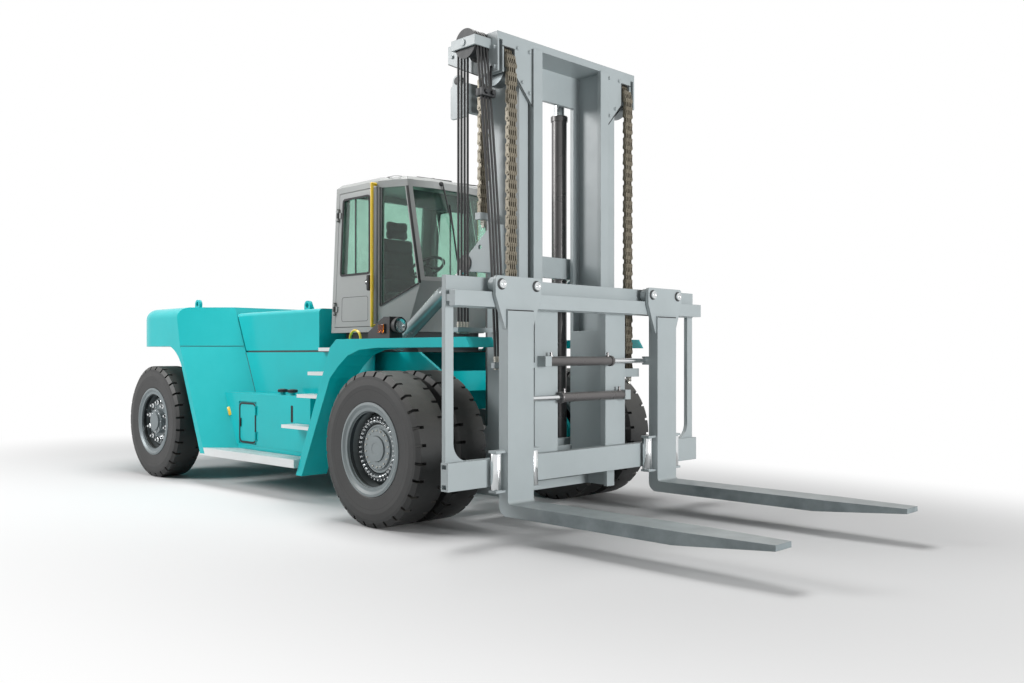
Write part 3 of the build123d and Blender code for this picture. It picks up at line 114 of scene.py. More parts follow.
def math_at(tree, kind, first=None, second=None):
    """A math node; each input is a number or the output of another node."""
    made = node_at(tree, "Math")
    made.operation = kind
    plug(tree, made.inputs[0], first)
    plug(tree, made.inputs[1], second)
    return made.outputs[0]


def seen_rays(tree):
    """One where the camera, a mirror or glass looks; zero for light that bounces."""
    rays = node_at(tree, "LightPath").outputs
    direct = math_at(tree, "MAXIMUM", rays["Is Camera Ray"], rays["Is Glossy Ray"])
    return math_at(tree, "MAXIMUM", direct, rays["Is Transmission Ray"])


def mixed(tree, share, first, second):
    """Two shaders mixed by a share."""
    mix = node_at(tree, "MixShader")
    for socket, value in zip(mix.inputs, (share, first.outputs[0], second.outputs[0])):
        plug(tree, socket, value)
    return mix.outputs[0]


world = bpy.data.worlds.new("studio_air")
bpy.context.scene.world = world
world.use_nodes = True
air = world.node_tree
air.nodes.clear()
soft_air = node_at(air, "Background", Color=WHITE, Strength=SOFT_AIR)
white_air = node_at(air, "Background", Color=WHITE, Strength=1)
air_mix = mixed(air, seen_rays(air), soft_air, white_air)
node_at(air, "OutputWorld", Surface=air_mix)
print("air lights with a strength of", SOFT_AIR)

# %% Floor
FLOOR_ACROSS = 120
FLOOR_TONE = (0.7, 0.7, 0.7, 1)
FLOOR_BOUNCE = 0.65
FADE_FROM, FADE_TO = 2.6, 5.4
bpy.ops.object.select_all(action="DESELECT")
bpy.ops.mesh.primitive_plane_add(size=FLOOR_ACROSS, location=(0, 0, -0.001))
floor = bpy.context.object
floor.name = "studio_floor"
sweep = bpy.data.materials.new("studio_floor")
sweep.use_nodes = True
tree = sweep.node_tree
tree.nodes.clear()
where = node_at(tree, "TexCoord").outputs["Object"]
ellipse = node_at(tree, "VectorMath", Vector=where)
ellipse.operation = "MULTIPLY"
ellipse.inputs[1].default_value = (0.5, 1.0, 1.0)
reach = node_at(tree, "VectorMath", Vector=ellipse.outputs[0])
reach.operation = "LENGTH"
fade = node_at(tree, "MapRange", Value=reach.outputs["Value"],
               From_Min=FADE_FROM, From_Max=FADE_TO)
fade.interpolation_type = "SMOOTHSTEP"
bounce = math_at(tree, "MAXIMUM", seen_rays(tree), FLOOR_BOUNCE)
matt = node_at(tree, "BsdfDiffuse", Color=FLOOR_TONE)
glow = node_at(tree, "Emission", Color=WHITE, Strength=bounce)
edge_mix = mixed(tree, fade.outputs[0], matt, glow)
node_at(tree, "OutputMaterial", Surface=edge_mix)
floor.data.materials.append(sweep)
print("floor reaches", floor.dimensions.x, "m across")

# %% Lamps
LAMPS = [
    # name, place, points at, size, watts
    ("key_lamp", (-6.5, -9.0, 7.0), (-1.0, -1.0, 1.0), 5.0, 920),
    ("front_lamp", (15.0, 0.0, 2.4), (1.0, 0.0, 2.0), 4.0, 1400),
    ("top_lamp", (-0.6, -0.4, 10.0), (-0.6, -0.4, 0.0), 5.0, 780),
]
for name, place, aim, size, watts in LAMPS:
    lamp_data = bpy.data.lights.new(name, "AREA")
    lamp_data.shape = "SQUARE"
    lamp_data.size = size
    lamp_data.energy = watts
    lamp = bpy.data.objects.new(name, lamp_data)
    bpy.context.scene.collection.objects.link(lamp)
    lamp.location = place
    lamp.rotation_euler = (Vector(aim) - Vector(place)).to_track_quat("-Z", "Y").to_euler()
bpy.context.scene.view_settings.view_transform = "Standard"
print(len(LAMPS), "lamps")

# %% [markdown]
# ## Paints
# Most of the truck is painted steel. Real paint is never one flat colour: it drifts a
# little in tone, its gloss is broken by fine orange peel, and dust settles on faces
# that look up. One recipe with a few numbers gives all the paints.

# %% Paint recipe
def linear(hex_colour):
    """A colour as it is read off a screen, turned into the light values Blender mixes."""
    parts = [int(hex_colour[i:i + 2], 16) / 255 for i in (1, 3, 5)]
    return [p / 12.92 if p < 0.04045 else ((p + 0.055) / 1.055) ** 2.4 for p in parts]


def shade_of(hex_colour, factor=1.0):
    return [min(1.0, c * factor) for c in linear(hex_colour)] + [1.0]


def start_material(name):
    """A new material: itself, its node tree, its surface and the place on the piece."""
    made = bpy.data.materials.new(name)
    made.use_nodes = True
    tree = made.node_tree
    where = node_at(tree, "TexCoord").outputs["Object"]
    return made, tree, tree.nodes["Principled BSDF"], where


def noise_into(tree, where, scale, detail):
    """A cloudy number over the piece."""
    return node_at(tree, "TexNoise", Vector=where, Scale=scale, Detail=detail,
                   Roughness=0.6).outputs["Fac"]


def ranged(tree, value, **limits):
    """A number stretched to other limits."""
    return node_at(tree, "MapRange", Value=value, **limits).outputs[0]


def split(tree, value):
    """The X, Y and Z of a place or a direction."""
    return node_at(tree, "SeparateXYZ", Vector=value).outputs


def toned(tree, value, dark, light, low=0.3, high=0.7):
    """Turn a number into a colour between two tones."""
    ramp = node_at(tree, "ValToRGB", Fac=value)
    for end, place, colour in zip(ramp.color_ramp.elements, (low, high), (dark, light)):
        end.position = place
        end.color = colour
    return ramp.outputs["Color"]


def over(tree, share, below, above):
    """Lay one colour over another where the share says so."""
    layer = node_at(tree, "Mix")
    layer.data_type = "RGBA"
    for number, value in ((0, share), (6, below), (7, above)):
        plug(tree, layer.inputs[number], value)
    return layer.outputs[2]


def facing_up(tree):
    """One on faces that look up, zero on walls and undersides."""
    normal = node_at(tree, "NewGeometry").outputs["Normal"]
    return math_at(tree, "MAXIMUM", split(tree, normal)["Z"], 0.0)


DUST = shade_of("#B7B2A6")


def paint(name, colour, gloss, peel=0.04, drift=0.05, metal=0.0, coat=0.0,
          tone_scale=1.6, peel_scale=420, dust=0.18, shine=0.5, edge=0.0, marks=None):
    """Painted or coated steel: drifting tone, uneven gloss, orange peel, settled dust.

    With an edge radius, sharp plate edges catch light as ground ones do."""
    made, tree, surface, where = start_material(name)
    cloud = noise_into(tree, where, tone_scale, 5)
    tones = [shade_of(colour, 1 - drift), shade_of(colour, 1 + drift)]
    coloured = toned(tree, cloud, *tones)
    if marks:
        coloured = marks(tree, where, coloured)
    settled = math_at(tree, "MULTIPLY", facing_up(tree), cloud)
    settled = math_at(tree, "MULTIPLY", settled, dust)
    smear = noise_into(tree, where, 7.0, 6)
    grain = noise_into(tree, where, peel_scale, 2)
    bump = node_at(tree, "Bump", Strength=peel, Distance=0.002, Height=grain)
    if edge:
        rounding = node_at(tree, "Bevel", Radius=edge)
        rounding.samples = 4
        feed(tree, bump, Normal=rounding.outputs["Normal"])
    feed(tree, surface, Base_Color=over(tree, settled, coloured, DUST),
         Roughness=ranged(tree, smear, To_Min=gloss - 0.07, To_Max=gloss + 0.09),
         Normal=bump.outputs["Normal"], Metallic=metal, Specular_IOR_Level=shine,
         Coat_Weight=coat, Coat_Roughness=0.12)
    return made


DECK_TOP = 1.538


def deck_marks(tree, where, base):
    """The frame is painted with the body; the deck on top of it is dark grey."""
    height = split(tree, where)["Z"]
    on_deck = math_at(tree, "GREATER_THAN", height, DECK_TOP)
    return over(tree, on_deck, base, shade_of("#3A4142"))


frame_teal = paint("frame_teal", "#00B6BA", 0.4, shine=0.14, coat=0.35, marks=deck_marks)
teal_paint = paint("teal_paint", "#00B6BA", 0.38, shine=0.14, coat=0.35, edge=0.006)
mast_grey = paint("mast_grey", "#A0A9AB", 0.36, edge=0.005)
cab_grey = paint("cab_grey", "#999C9B", 0.34, peel=0.08, drift=0.04, edge=0.005)
barrel_grey = paint("barrel_grey", "#5E5C5C", 0.28, peel=0.01, drift=0.08, metal=0.4)
tilt_grey = paint("tilt_grey", "#929A9B", 0.24, metal=0.4, drift=0.06)
rail_yellow = paint("rail_yellow", "#E8C21C", 0.32, coat=0.3)
cast_iron = paint("cast_iron", "#4A4B4B", 0.62, peel=0.35, peel_scale=160)
black_plastic = paint("black_plastic", "#1E2022", 0.5, peel=0.25, peel_scale=700, dust=0.1)
black_rubber = paint("black_rubber", "#17181A", 0.68, peel=0.2, peel_scale=900, dust=0.12)
sheave_steel = paint("sheave_steel", "#6F7678", 0.35, metal=0.6)
pillar_grey = paint("pillar_grey", "#4C5153", 0.5, peel=0.1)
print("paints ready")

# %% [markdown]
# ## Wheels, treads and glass
# A wheel shows several finishes on one turned part: the rim's edge is pale, the dish
# behind it nearly black. Instead of cutting the part up, the paint asks how far a point
# is from the axle, because that distance never changes as the wheel rolls.

# %% Finishes that follow the axle
AXLE_HIGH = 0.685
FRONT_AXLE = 0.9645
REAR_AXLE = -3.7905


def from_axle(tree, where, axle_x):
    """How far a point is from the wheel's axle."""
    parts = split(tree, where)
    along = math_at(tree, "SUBTRACT", parts["X"], axle_x)
    up = math_at(tree, "SUBTRACT", parts["Z"], AXLE_HIGH)
    squares = [math_at(tree, "MULTIPLY", value, value) for value in (along, up)]
    return math_at(tree, "SQRT", math_at(tree, "ADD", *squares))


def between(tree, value, low, high):
    """One where a number lies between two others."""
    above = math_at(tree, "GREATER_THAN", value, low)
    below = math_at(tree, "LESS_THAN", value, high)
    return math_at(tree, "MULTIPLY", above, below)


def ring_marks(axle_x, rings):
    """Marks for the paint recipe: rings of another colour, each between two radii."""
    def lay(tree, where, base):
        radius = from_axle(tree, where, axle_x)
        for low, high, colour in rings:
            base = over(tree, between(tree, radius, low, high), base, shade_of(colour))
        return base
    return lay


front_rim_grey = paint("front_rim_grey", "#7B8486", 0.42, drift=0.06,
                       marks=ring_marks(FRONT_AXLE, [(0.200, 0.328, "#2B3438")]))
rear_rim_grey = paint("rear_rim_grey", "#767F82", 0.36, drift=0.06, metal=0.3,
                      marks=ring_marks(REAR_AXLE, [(0.284, 0.338, "#1F2527")]))
# The running surface is darker than the sidewall, which has a thin ring line.
TREAD_RINGS = [(0.615, 0.8, "#1D1E1E"), (0.520, 0.526, "#1E1E1E")]
front_tyre_rubber, rear_tyre_rubber = [
    paint(name, "#2A2A2A", 0.52, peel=0.3, drift=0.12, tone_scale=4, peel_scale=220,
          marks=ring_marks(axle_x, TREAD_RINGS))
    for name, axle_x in (("front_tyre_rubber", FRONT_AXLE), ("rear_tyre_rubber", REAR_AXLE))
]
dish_dark = paint("dish_dark", "#30383B", 0.4, drift=0.08, metal=0.3)
hub_grey = paint("hub_grey", "#858D8F", 0.34, drift=0.06, metal=0.35)
print("wheel finishes ready")

# %% Scuffed fork blades
HEEL, WORN_BARE = 2.25, 2.75


def blade_marks(tree, where, base):
    """Loads slide on and off the blades, which wears their paint dark from the heel outward."""
    place = split(tree, where)["X"]
    along = ranged(tree, place, From_Min=HEEL, From_Max=WORN_BARE)
    scuff = noise_into(tree, where, 5.0, 6)
    worn = toned(tree, scuff, shade_of("#606A6D"), shade_of("#7C8688"))
    return over(tree, along, base, worn)


fork_grey = paint("fork_grey", "#A0A9AB", 0.36, edge=0.006, marks=blade_marks)
print("fork finish ready")

# %% Treads with punched holes shown as painted shade, bare metal and glass
HOLE_PITCH = 0.032


def hole_shade_marks(tree, where, base):
    """Rows of punched holes on the faces that are walked on, shown as painted shade."""
    cell = node_at(tree, "VectorMath", Vector=where)
    cell.operation = "SCALE"
    cell.inputs["Scale"].default_value = 1 / HOLE_PITCH
    parts = split(tree, cell.outputs[0])
    squares = []
    for axis in ("X", "Y"):
        inside = math_at(tree, "FRACT", parts[axis])
        off = math_at(tree, "SUBTRACT", inside, 0.5)
        squares.append(math_at(tree, "MULTIPLY", off, off))
    spread = math_at(tree, "ADD", *squares)
    hole = math_at(tree, "LESS_THAN", spread, 0.085)
    walked = math_at(tree, "GREATER_THAN", facing_up(tree), 0.8)
    punched = math_at(tree, "MULTIPLY", hole, walked)
    # Painted shade: dark grey spots stand in for the shade seen through each hole.
    return over(tree, punched, base, shade_of("#4A4F50"))


tread_alloy = paint("tread_alloy", "#D9DCDC", 0.36, metal=0.2, marks=hole_shade_marks)
chain_steel = paint("chain_steel", "#7A7364", 0.42, metal=0.35, drift=0.2, tone_scale=14, peel=0.1)
chrome_rod = paint("chrome_rod", "#DADDDE", 0.14, metal=1.0, drift=0.02, peel=0.01, dust=0.05)
zinc_fitting = paint("zinc_fitting", "#B9B7AE", 0.3, metal=0.8, drift=0.1, tone_scale=20)
hose_rubber = paint("hose_rubber", "#232425", 0.5, peel=0.2, drift=0.1, peel_scale=300)


def clear_pane(name, dark, light, low, high):
    """Tinted glass with a thin film of haze."""
    made, tree, surface, where = start_material(name)
    film = noise_into(tree, where, 3.0, 4)
    feed(tree, surface, Base_Color=toned(tree, film, shade_of(dark), shade_of(light)),
         Roughness=ranged(tree, film, To_Min=low, To_Max=high),
         Transmission_Weight=1.0, IOR=1.45)
    return made


cab_pane = clear_pane("cab_pane", "#B4D2C6", "#C2E0D4", 0.02, 0.07)
lamp_lens = clear_pane("lamp_lens", "#EEF2F2", "#FAFCFC", 0.03, 0.08)
amber_lens = clear_pane("amber_lens", "#E8741A", "#F58A26", 0.1, 0.2)
red_lens = clear_pane("red_lens", "#B31414", "#C81E1E", 0.1, 0.2)
print("treads, metal and glass ready")

# %% [markdown]
# ## Seat cloth
# The driver's seat is covered in black woven cloth. Two wave patterns that cross at
# right angles make the weave; where both crests meet, a thread stands up. The pattern
# reads Object coordinates, so it stays put on the pad.

# %% Weave
seat_cloth, tree, surface, where = start_material("seat_cloth")
threads = []
for direction in ("Y", "Z"):
    wave = node_at(tree, "TexWave", Vector=where, Scale=95.0, Distortion=0.6, Detail=1.0)
    wave.bands_direction = direction
    threads.append(wave.outputs["Fac"])
weave = math_at(tree, "MULTIPLY", *threads)
weave_bump = node_at(tree, "Bump", Strength=0.35, Distance=0.002, Height=weave)
weave_tone = toned(tree, weave, shade_of("#1B1C1F"), shade_of("#33353A"), 0.1, 0.8)
feed(tree, surface, Base_Color=weave_tone, Normal=weave_bump.outputs["Normal"],
     Roughness=0.9, Sheen_Weight=0.25)
print("seat cloth ready")

# %% [markdown]
# ## Dressing the frame
# Each CAD solid keeps its shape and takes a finish. The pieces that follow either sit
# on these solids or stand in for the few that a plain solid can't show.

# %% Finishes for the solids
def paired(*names):
    """The names of solids that come in pairs."""
    return [f"{name}_{side}" for name in names for side in ("left", "right")]


FINISH = {
    teal_paint: ["counterweight", "fenders", "side_panels", "engine_hood", "tank_hatch",
                 *paired("tank")],
    frame_teal: ["chassis_frame"],
    cast_iron: ["engine_block", "drive_axle", "steer_axle"] + paired("steer_knuckle"),
    tread_alloy: ["steps"],
    cab_grey: ["cab_shell"] + paired("cab_door"),
    cab_pane: ["cab_glass"] + paired("door_glass"),
    seat_cloth: ["seat"],
    black_plastic: ["steering_console", "headlamps", "hose_sheave"],
    rail_yellow: ["handrails"],
    front_tyre_rubber: paired("front_tyres"),
    rear_tyre_rubber: paired("rear_tyre"),
    front_rim_grey: paired("front_rims"),
    rear_rim_grey: paired("rear_rim"),
    mast_grey: ["mast_outer", "mast_inner", "carriage"],
    fork_grey: paired("fork"),
    barrel_grey: ["lift_barrels", "positioner_barrels"],
    tilt_grey: paired("tilt_barrel"),
    chrome_rod: ["lift_rods"] + paired("positioner_rod", "tilt_rod"),
    sheave_steel: ["chain_sheaves"],
    chain_steel: ["chains_rear", "chain_wraps", "chains_front"],
    hose_rubber: ["hoses_rear", "hose_wraps", "hoses_front"],
}
for finish, names in FINISH.items():
    for name in names:
        nodes[name].data.materials.clear()
        nodes[name].data.materials.append(finish)
print(sum(map(len, FINISH.values())), "of", len(nodes), "solids finished")

# %% [markdown]
# ## Working by hand
# The pieces below are modelled the way one would at the desk: a primitive at its size
# and place, then edit mode. A few helpers keep that short. Places are measured as on
# the drawing, in millimetres from the ground under the front axle.

# %% Helpers for modelling
def spot(x, y, z):
    """A place on the drawing, in the frame's metres."""
    return Vector((x / 1000 + FRONT_AXLE, y / 1000, z / 1000))


def edit_mode(piece):
    bpy.ops.object.mode_set(mode="EDIT")
    bpy.ops.mesh.select_all(action="SELECT")
    return piece


def pick(piece, kind, test):
    """In edit mode, select the faces, edges or corners that pass a test."""
    bpy.ops.mesh.select_mode(type=kind)
    bpy.ops.mesh.select_all(action="DESELECT")
    shape = bmesh.from_edit_mesh(piece.data)
    for part in {"FACE": shape.faces, "EDGE": shape.edges, "VERT": shape.verts}[kind]:
        part.select_set(test(part))
    shape.select_flush_mode()
    bmesh.update_edit_mesh(piece.data)


def only(piece):
    """Leave this piece alone selected, in object mode."""
    if bpy.context.object and bpy.context.object.mode == "EDIT":
        bpy.ops.object.mode_set(mode="OBJECT")
    bpy.ops.object.select_all(action="DESELECT")
    piece.select_set(True)
    bpy.context.view_layer.objects.active = piece
    return piece


def applied(piece):
    """Put a piece's place, turn and size into its mesh."""
    only(piece)
    bpy.ops.object.transform_apply(location=True, rotation=True, scale=True)
    return piece


def settle(piece):
    """Finish a piece's mesh: merge doubles and turn its faces outward."""
    edit_mode(applied(piece))
    bpy.ops.mesh.remove_doubles(threshold=0.00002)
    bpy.ops.mesh.normals_make_consistent(inside=False)
    bpy.ops.object.mode_set(mode="OBJECT")
    return piece


def dressed(piece, name, finish, angle=35):
    """Name a finished piece and paint it."""
    only(piece)
    bpy.ops.object.shade_smooth_by_angle(angle=math.radians(angle))
    piece.name = name
    piece.data.materials.clear()
    piece.data.materials.append(finish)
    return piece


def ready(piece, name, finish, body, angle=35):
    """Name a finished piece, paint it and let it ride."""
    dressed(piece, name, finish, angle)
    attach(piece, body)
    return piece


def copy_of(piece, change):
    """A copy with its own mesh, moved by a matrix."""
    twin = piece.copy()
    twin.data = piece.data.copy()
    bpy.context.scene.collection.objects.link(twin)
    twin.data.transform(change)
    if change.determinant() < 0:
        twin.data.flip_normals()
    return twin


def joined(pieces):
    """Several pieces made one."""
    only(pieces[0])
    for piece in pieces:
        piece.select_set(True)
    bpy.ops.object.join()
    return bpy.context.object


ACROSS = Matrix.Scale(-1, 4, (0, 1, 0))


def on_the_left(piece, name, body):
    """The same piece on the other side of the truck."""
    twin = copy_of(piece, ACROSS)
    twin.name = name
    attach(twin, body)
    return twin


def both_sides(piece, name, finish, body, angle=35):
    """Finish a piece on the right and set its twin on the left body."""
    ready(piece, f"{name}_right", finish, body, angle)
    left_body = {"fork_r": "fork_l"}.get(body, body.replace("_right", "_left"))
    on_the_left(piece, f"{name}_left", left_body)
    return piece


RIGHT, FRONT, UP, DOWN = (0, -1, 0), (1, 0, 0), (0, 0, 1), (0, 0, -1)


def turned(steps, place, facing, sides=32, ring=False):
    """Turn (radius, along) steps in millimetres: a circle drawn out ring by ring.

    With ring=True the profile closes on itself and leaves a hole in the middle."""
    bpy.ops.object.select_all(action="DESELECT")
    way = Vector(facing).normalized()
    start = place + way * steps[0][1] / 1000
    bpy.ops.mesh.primitive_circle_add(
        vertices=sides, radius=steps[0][0] / 1000, fill_type="NOTHING" if ring else "NGON",
        location=start, rotation=way.to_track_quat("Z", "Y").to_euler())
    piece = edit_mode(bpy.context.object)
    path = list(zip(steps, steps[1:] + steps[:1] if ring else steps[1:]))
    for (r_from, a_from), (r_to, a_to) in path:
        step = way * (a_to - a_from) / 1000
        bpy.ops.mesh.extrude_region_move(TRANSFORM_OT_translate={"value": step})
        share = r_to / r_from
        bpy.ops.transform.resize(value=(share,) * 3, center_override=place + way * a_to / 1000)
    return settle(piece)


def slab(low, high, soft=3.0, segments=2):
    """A block between two corners in millimetres, its edges bevelled."""
    bpy.ops.object.select_all(action="DESELECT")
    low, high = spot(*low), spot(*high)
    bpy.ops.mesh.primitive_cube_add(size=1, location=(low + high) / 2, scale=high - low)
    piece = edit_mode(applied(bpy.context.object))
    bpy.ops.mesh.bevel(offset=soft / 1000, segments=segments, affect="EDGES")
    return settle(piece)


def strap(start, end, wide, thick, out, soft=1.5):
    """A bevelled flat bar from one place to another, its broad face looking out."""
    bpy.ops.object.select_all(action="DESELECT")
    begin, stop, out = spot(*start), spot(*end), Vector(out).normalized()
    along = (stop - begin).normalized()
    side = out.cross(along).normalized()
    size = ((stop - begin).length, wide / 1000, thick / 1000)
    bpy.ops.mesh.primitive_cube_add(size=1, scale=size)
    piece = edit_mode(applied(bpy.context.object))
    bpy.ops.mesh.bevel(offset=soft / 1000, segments=2, affect="EDGES")
    only(piece)
    turn = Matrix((along, side, along.cross(side))).transposed().to_4x4()
    piece.matrix_world = Matrix.Translation((begin + stop) / 2) @ turn
    return settle(piece)


def flat_frame(corners, wide, thick, rounded):
    """A flat frame through four corners: rounded, inset, opened and thickened."""
    bpy.ops.object.select_all(action="DESELECT")
    bpy.ops.mesh.primitive_plane_add(size=1)
    piece = bpy.context.object
    for index, corner in zip((0, 1, 3, 2), corners):
        piece.data.vertices[index].co = spot(*corner)
    edit_mode(piece)
    bpy.ops.mesh.bevel(offset=rounded / 1000, segments=5, affect="VERTICES")
    bpy.ops.mesh.select_all(action="SELECT")
    bpy.ops.mesh.inset(thickness=wide / 1000, use_even_offset=True)
    bpy.ops.mesh.delete(type="FACE")
    only(piece)
    wall = piece.modifiers.new("wall", "SOLIDIFY")
    wall.thickness = thick / 1000
    wall.offset = 0
    bpy.ops.object.modifier_apply(modifier="wall")
    return settle(piece)


def side_frame(y, corners, wide, thick, rounded):
    """A flat frame on the truck's right side."""
    return flat_frame([(x, y, z) for x, z in corners], wide, thick, rounded)


print("helpers ready")

# %% [markdown]
# ## Wheel nuts
# The front wheels are twins on one planetary hub: a ring of wheel nuts holds the dish,
# and a ring of smaller screws closes the hub cover. One nut is drawn out of a hexagon,
# with a stud end on top, and set round the axle.

# %% Front wheel nuts
HUB_Z = 685
NUT_FACE, SCREW_FACE = -1462, -1479
wheel_nut = [(13, 0), (13, 14), (11, 17), (7, 17), (7, 27), (5, 29)]
cover_screw = [(8, 0), (8, 7), (6, 9)]


def bolt_circle(steps, corners, place, count, axle_x):
    """One fastener turned on a wheel's face and set all round its axle."""
    hub = Matrix.Translation((axle_x, 0, AXLE_HIGH))
    copies = [turned(steps, place, RIGHT, corners)]
    for step in range(1, count):
        turn = Matrix.Rotation(2 * math.pi * step / count, 4, "Y")
        copies.append(copy_of(copies[0], hub @ turn @ hub.inverted()))
    return joined(copies)


dish_steps = [(334, 1366), (334, 1400), (302, 1448), (288, 1462), (224, 1462), (224, 1366)]
both_sides(turned(dish_steps, spot(0, 0, HUB_Z), RIGHT, 64, True),
           "front_dish_ring", dish_dark, "front_wheel_right")
nuts = bolt_circle(wheel_nut, 6, spot(0, NUT_FACE, HUB_Z + 245), 36, FRONT_AXLE)
studs = bolt_circle(cover_screw, 8, spot(0, NUT_FACE, HUB_Z + 276), 36, FRONT_AXLE)
nuts = both_sides(joined([nuts, studs]), "front_wheel_nuts", chrome_rod, "front_wheel_right")
cover_steps = [
    (211, 1420), (216, 1426), (216, 1458), (209, 1464), (196, 1464), (193, 1460), (184, 1460),
    (181, 1478), (116, 1482), (112, 1478), (110, 1494), (84, 1497), (55, 1497), (51, 1493), (1, 1493),
]
both_sides(turned(cover_steps, spot(0, 0, HUB_Z), RIGHT, 64),
           "front_hub_cover", hub_grey, "front_wheel_right")
screws = bolt_circle(cover_screw, 8, spot(0, SCREW_FACE, HUB_Z + 162), 18, FRONT_AXLE)
both_sides(screws, "front_hub_screws", zinc_fitting, "front_wheel_right")
print("front nuts:", len(nuts.data.polygons), "faces each side")

# %% Rear wheel nuts and painted shade in the hand holes
REAR_X = -4755
REAR_FACE, REAR_SCREW_FACE = -1261, -1318
rear_nut = [(40, 0), (40, 6), (33, 8), (33, 34), (27, 40), (17, 40), (17, 60), (14, 64)]
nuts = bolt_circle(rear_nut, 6, spot(REAR_X, REAR_FACE, HUB_Z + 232), 10, REAR_AXLE)
screws = bolt_circle(cover_screw, 8, spot(REAR_X, REAR_SCREW_FACE, HUB_Z + 130), 8, REAR_AXLE)
nuts = both_sides(joined([nuts, screws]), "rear_wheel_nuts", chrome_rod, "rear_wheel_right")
# Painted shade: the hand holes are not cut; a dark disc with a lip stands in for the shade inside
# each one.
hole_lip = [(27, 0), (27, 3), (24, 3), (23, 1), (1, 1)]
holes = bolt_circle(hole_lip, 16, spot(REAR_X + 72, REAR_FACE, HUB_Z + 221), 10, REAR_AXLE)
both_sides(holes, "rear_hand_hole_shade", black_rubber, "rear_wheel_right")
print("rear nuts:", len(nuts.data.polygons), "faces each side")

# %% [markdown]
# ## Leaf chains
# The carriage hangs on two leaf chains: stacks of flat link plates, laced five and four
# across, turning on riveted pins. One plate is a disc pulled apart into a long eye and
# pinched at the waist. The front run grows shorter as the carriage climbs; its upper
# piece rides on the inner mast, while the lowest links travel with the carriage.

# %% One link plate and one pin
CHAIN_MIDDLE = -801.5
PLATE = 9.8
LACE = 11.67
EYE = 23.0
PIN_STEPS = [(9, -56), (11, -55), (11, -52), (11, 52), (11, 55), (9, 56)]


def link_plate(pitch):
    """A link plate standing upright at the origin, its lower pin hole at zero."""
    bpy.ops.object.select_all(action="DESELECT")
    bpy.ops.mesh.primitive_cylinder_add(vertices=12, radius=EYE / 1000, depth=PLATE / 1000,
                                        rotation=(math.radians(90), 0, 0))
    piece = edit_mode(applied(bpy.context.object))
    pick(piece, "VERT", lambda corner: corner.co.z > 0.0005)
    bpy.ops.transform.translate(value=(0, 0, pitch / 1000))
    bpy.ops.mesh.select_all(action="SELECT")
    waist = pitch / 2000
    bpy.ops.mesh.bisect(plane_co=(0, 0, waist), plane_no=(0, 0, 1))
    pick(piece, "VERT", lambda corner: abs(corner.co.z - waist) < 0.001)
    bpy.ops.transform.resize(value=(0.74, 1, 1), center_override=(0, 0, waist))
    return settle(piece)


def chain_row(lanes, plate, pin):
    """One row of link plates across the chain, with its pin, at the origin."""
    row = [copy_of(plate, Matrix.Translation((0, lane * LACE / 1000, 0))) for lane in lanes]
    return joined(row + [copy_of(pin, Matrix.Identity(4))])


def laced(pitch, places):
    """A chain with a row at each place, five and four plates across by turns."""
    plate = link_plate(pitch)
    pin = turned(PIN_STEPS, Vector((0, 0, 0)), (0, 1, 0), 10)
    rows = [chain_row(lanes, plate, pin) for lanes in (range(-4, 5, 2), range(-3, 4, 2))]
    links = [copy_of(rows[number % 2], place) for number, place in enumerate(places)]
    for spare in rows + [plate, pin]:
        bpy.data.objects.remove(spare)
    return joined(links)


def straight_chain(x, low, high, rows):
    """A straight run of links between two heights."""
    pitch = (high - low) / rows
    heights = [low + number * pitch for number in range(rows)]
    return laced(pitch, [Matrix.Translation(spot(x, CHAIN_MIDDLE, z)) for z in heights])


print("link plate ready:", PLATE, "mm thick")

# %% The chain runs and the wraps
CHAIN_FRONT_X, SHEAVE_X, CHAIN_REAR_X = 991, 816, 641
CHAIN_FOOT, REAR_FOOT, CHAIN_TOP = 1385, 2760, 3985
FRONT_ROWS, END_ROWS, REAR_ROWS, WRAP_ROWS = 34, 2, 16, 7
WRAP_R = 175
long_run = straight_chain(CHAIN_FRONT_X, CHAIN_FOOT, CHAIN_TOP, FRONT_ROWS)
ready(long_run, "chain_front_run_right", chain_steel, "inner_mast", 30)
end_top = CHAIN_FOOT + END_ROWS * (CHAIN_TOP - CHAIN_FOOT) / FRONT_ROWS
short_run = straight_chain(CHAIN_FRONT_X, CHAIN_FOOT, end_top, END_ROWS)
ready(short_run, "chain_front_end_right", chain_steel, "fork_carriage", 30)
rear_run = straight_chain(CHAIN_REAR_X, REAR_FOOT, CHAIN_TOP, REAR_ROWS)
dressed(rear_run, "chain_rear_run_right", chain_steel, 30)
wrap_step = math.pi / WRAP_ROWS
wrap_places = []
for number in range(WRAP_ROWS):
    angle = number * wrap_step
    x, z = SHEAVE_X + WRAP_R * math.cos(angle), CHAIN_TOP + WRAP_R * math.sin(angle)
    lean = Matrix.Rotation(-(angle + wrap_step / 2), 4, "Y")
    wrap_places.append(Matrix.Translation(spot(x, CHAIN_MIDDLE, z)) @ lean)
wrap = laced(2 * WRAP_R * math.sin(wrap_step / 2), wrap_places)
ready(wrap, "chain_wrap_right", chain_steel, "inner_mast", 30)
print("chain links:", len(long_run.data.polygons) + len(rear_run.data.polygons), "faces a side")

# %% Chains on the left, and how they follow the mast
rear_left = copy_of(rear_run, ACROSS)
rear_left.name = "chain_rear_run_left"
long_left = on_the_left(long_run, "chain_front_run_left", "inner_mast")
on_the_left(short_run, "chain_front_end_left", "fork_carriage")
on_the_left(wrap, "chain_wrap_left", "inner_mast")
for run in (long_run, long_left):
    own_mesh(run)
for run in (rear_run, rear_left):
    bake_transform(run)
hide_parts("chains_front")
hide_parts("chains_rear")
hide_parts("chain_wraps")

# %% [markdown]
# ## Hoses
# Four hydraulic hoses climb the right side of the mast, go over their own sheave and
# run down to the carriage, each ending in a crimped ferrule and a hexagon nut. A hose
# is a smooth path with a round section, made a mesh so that it can follow the lift.

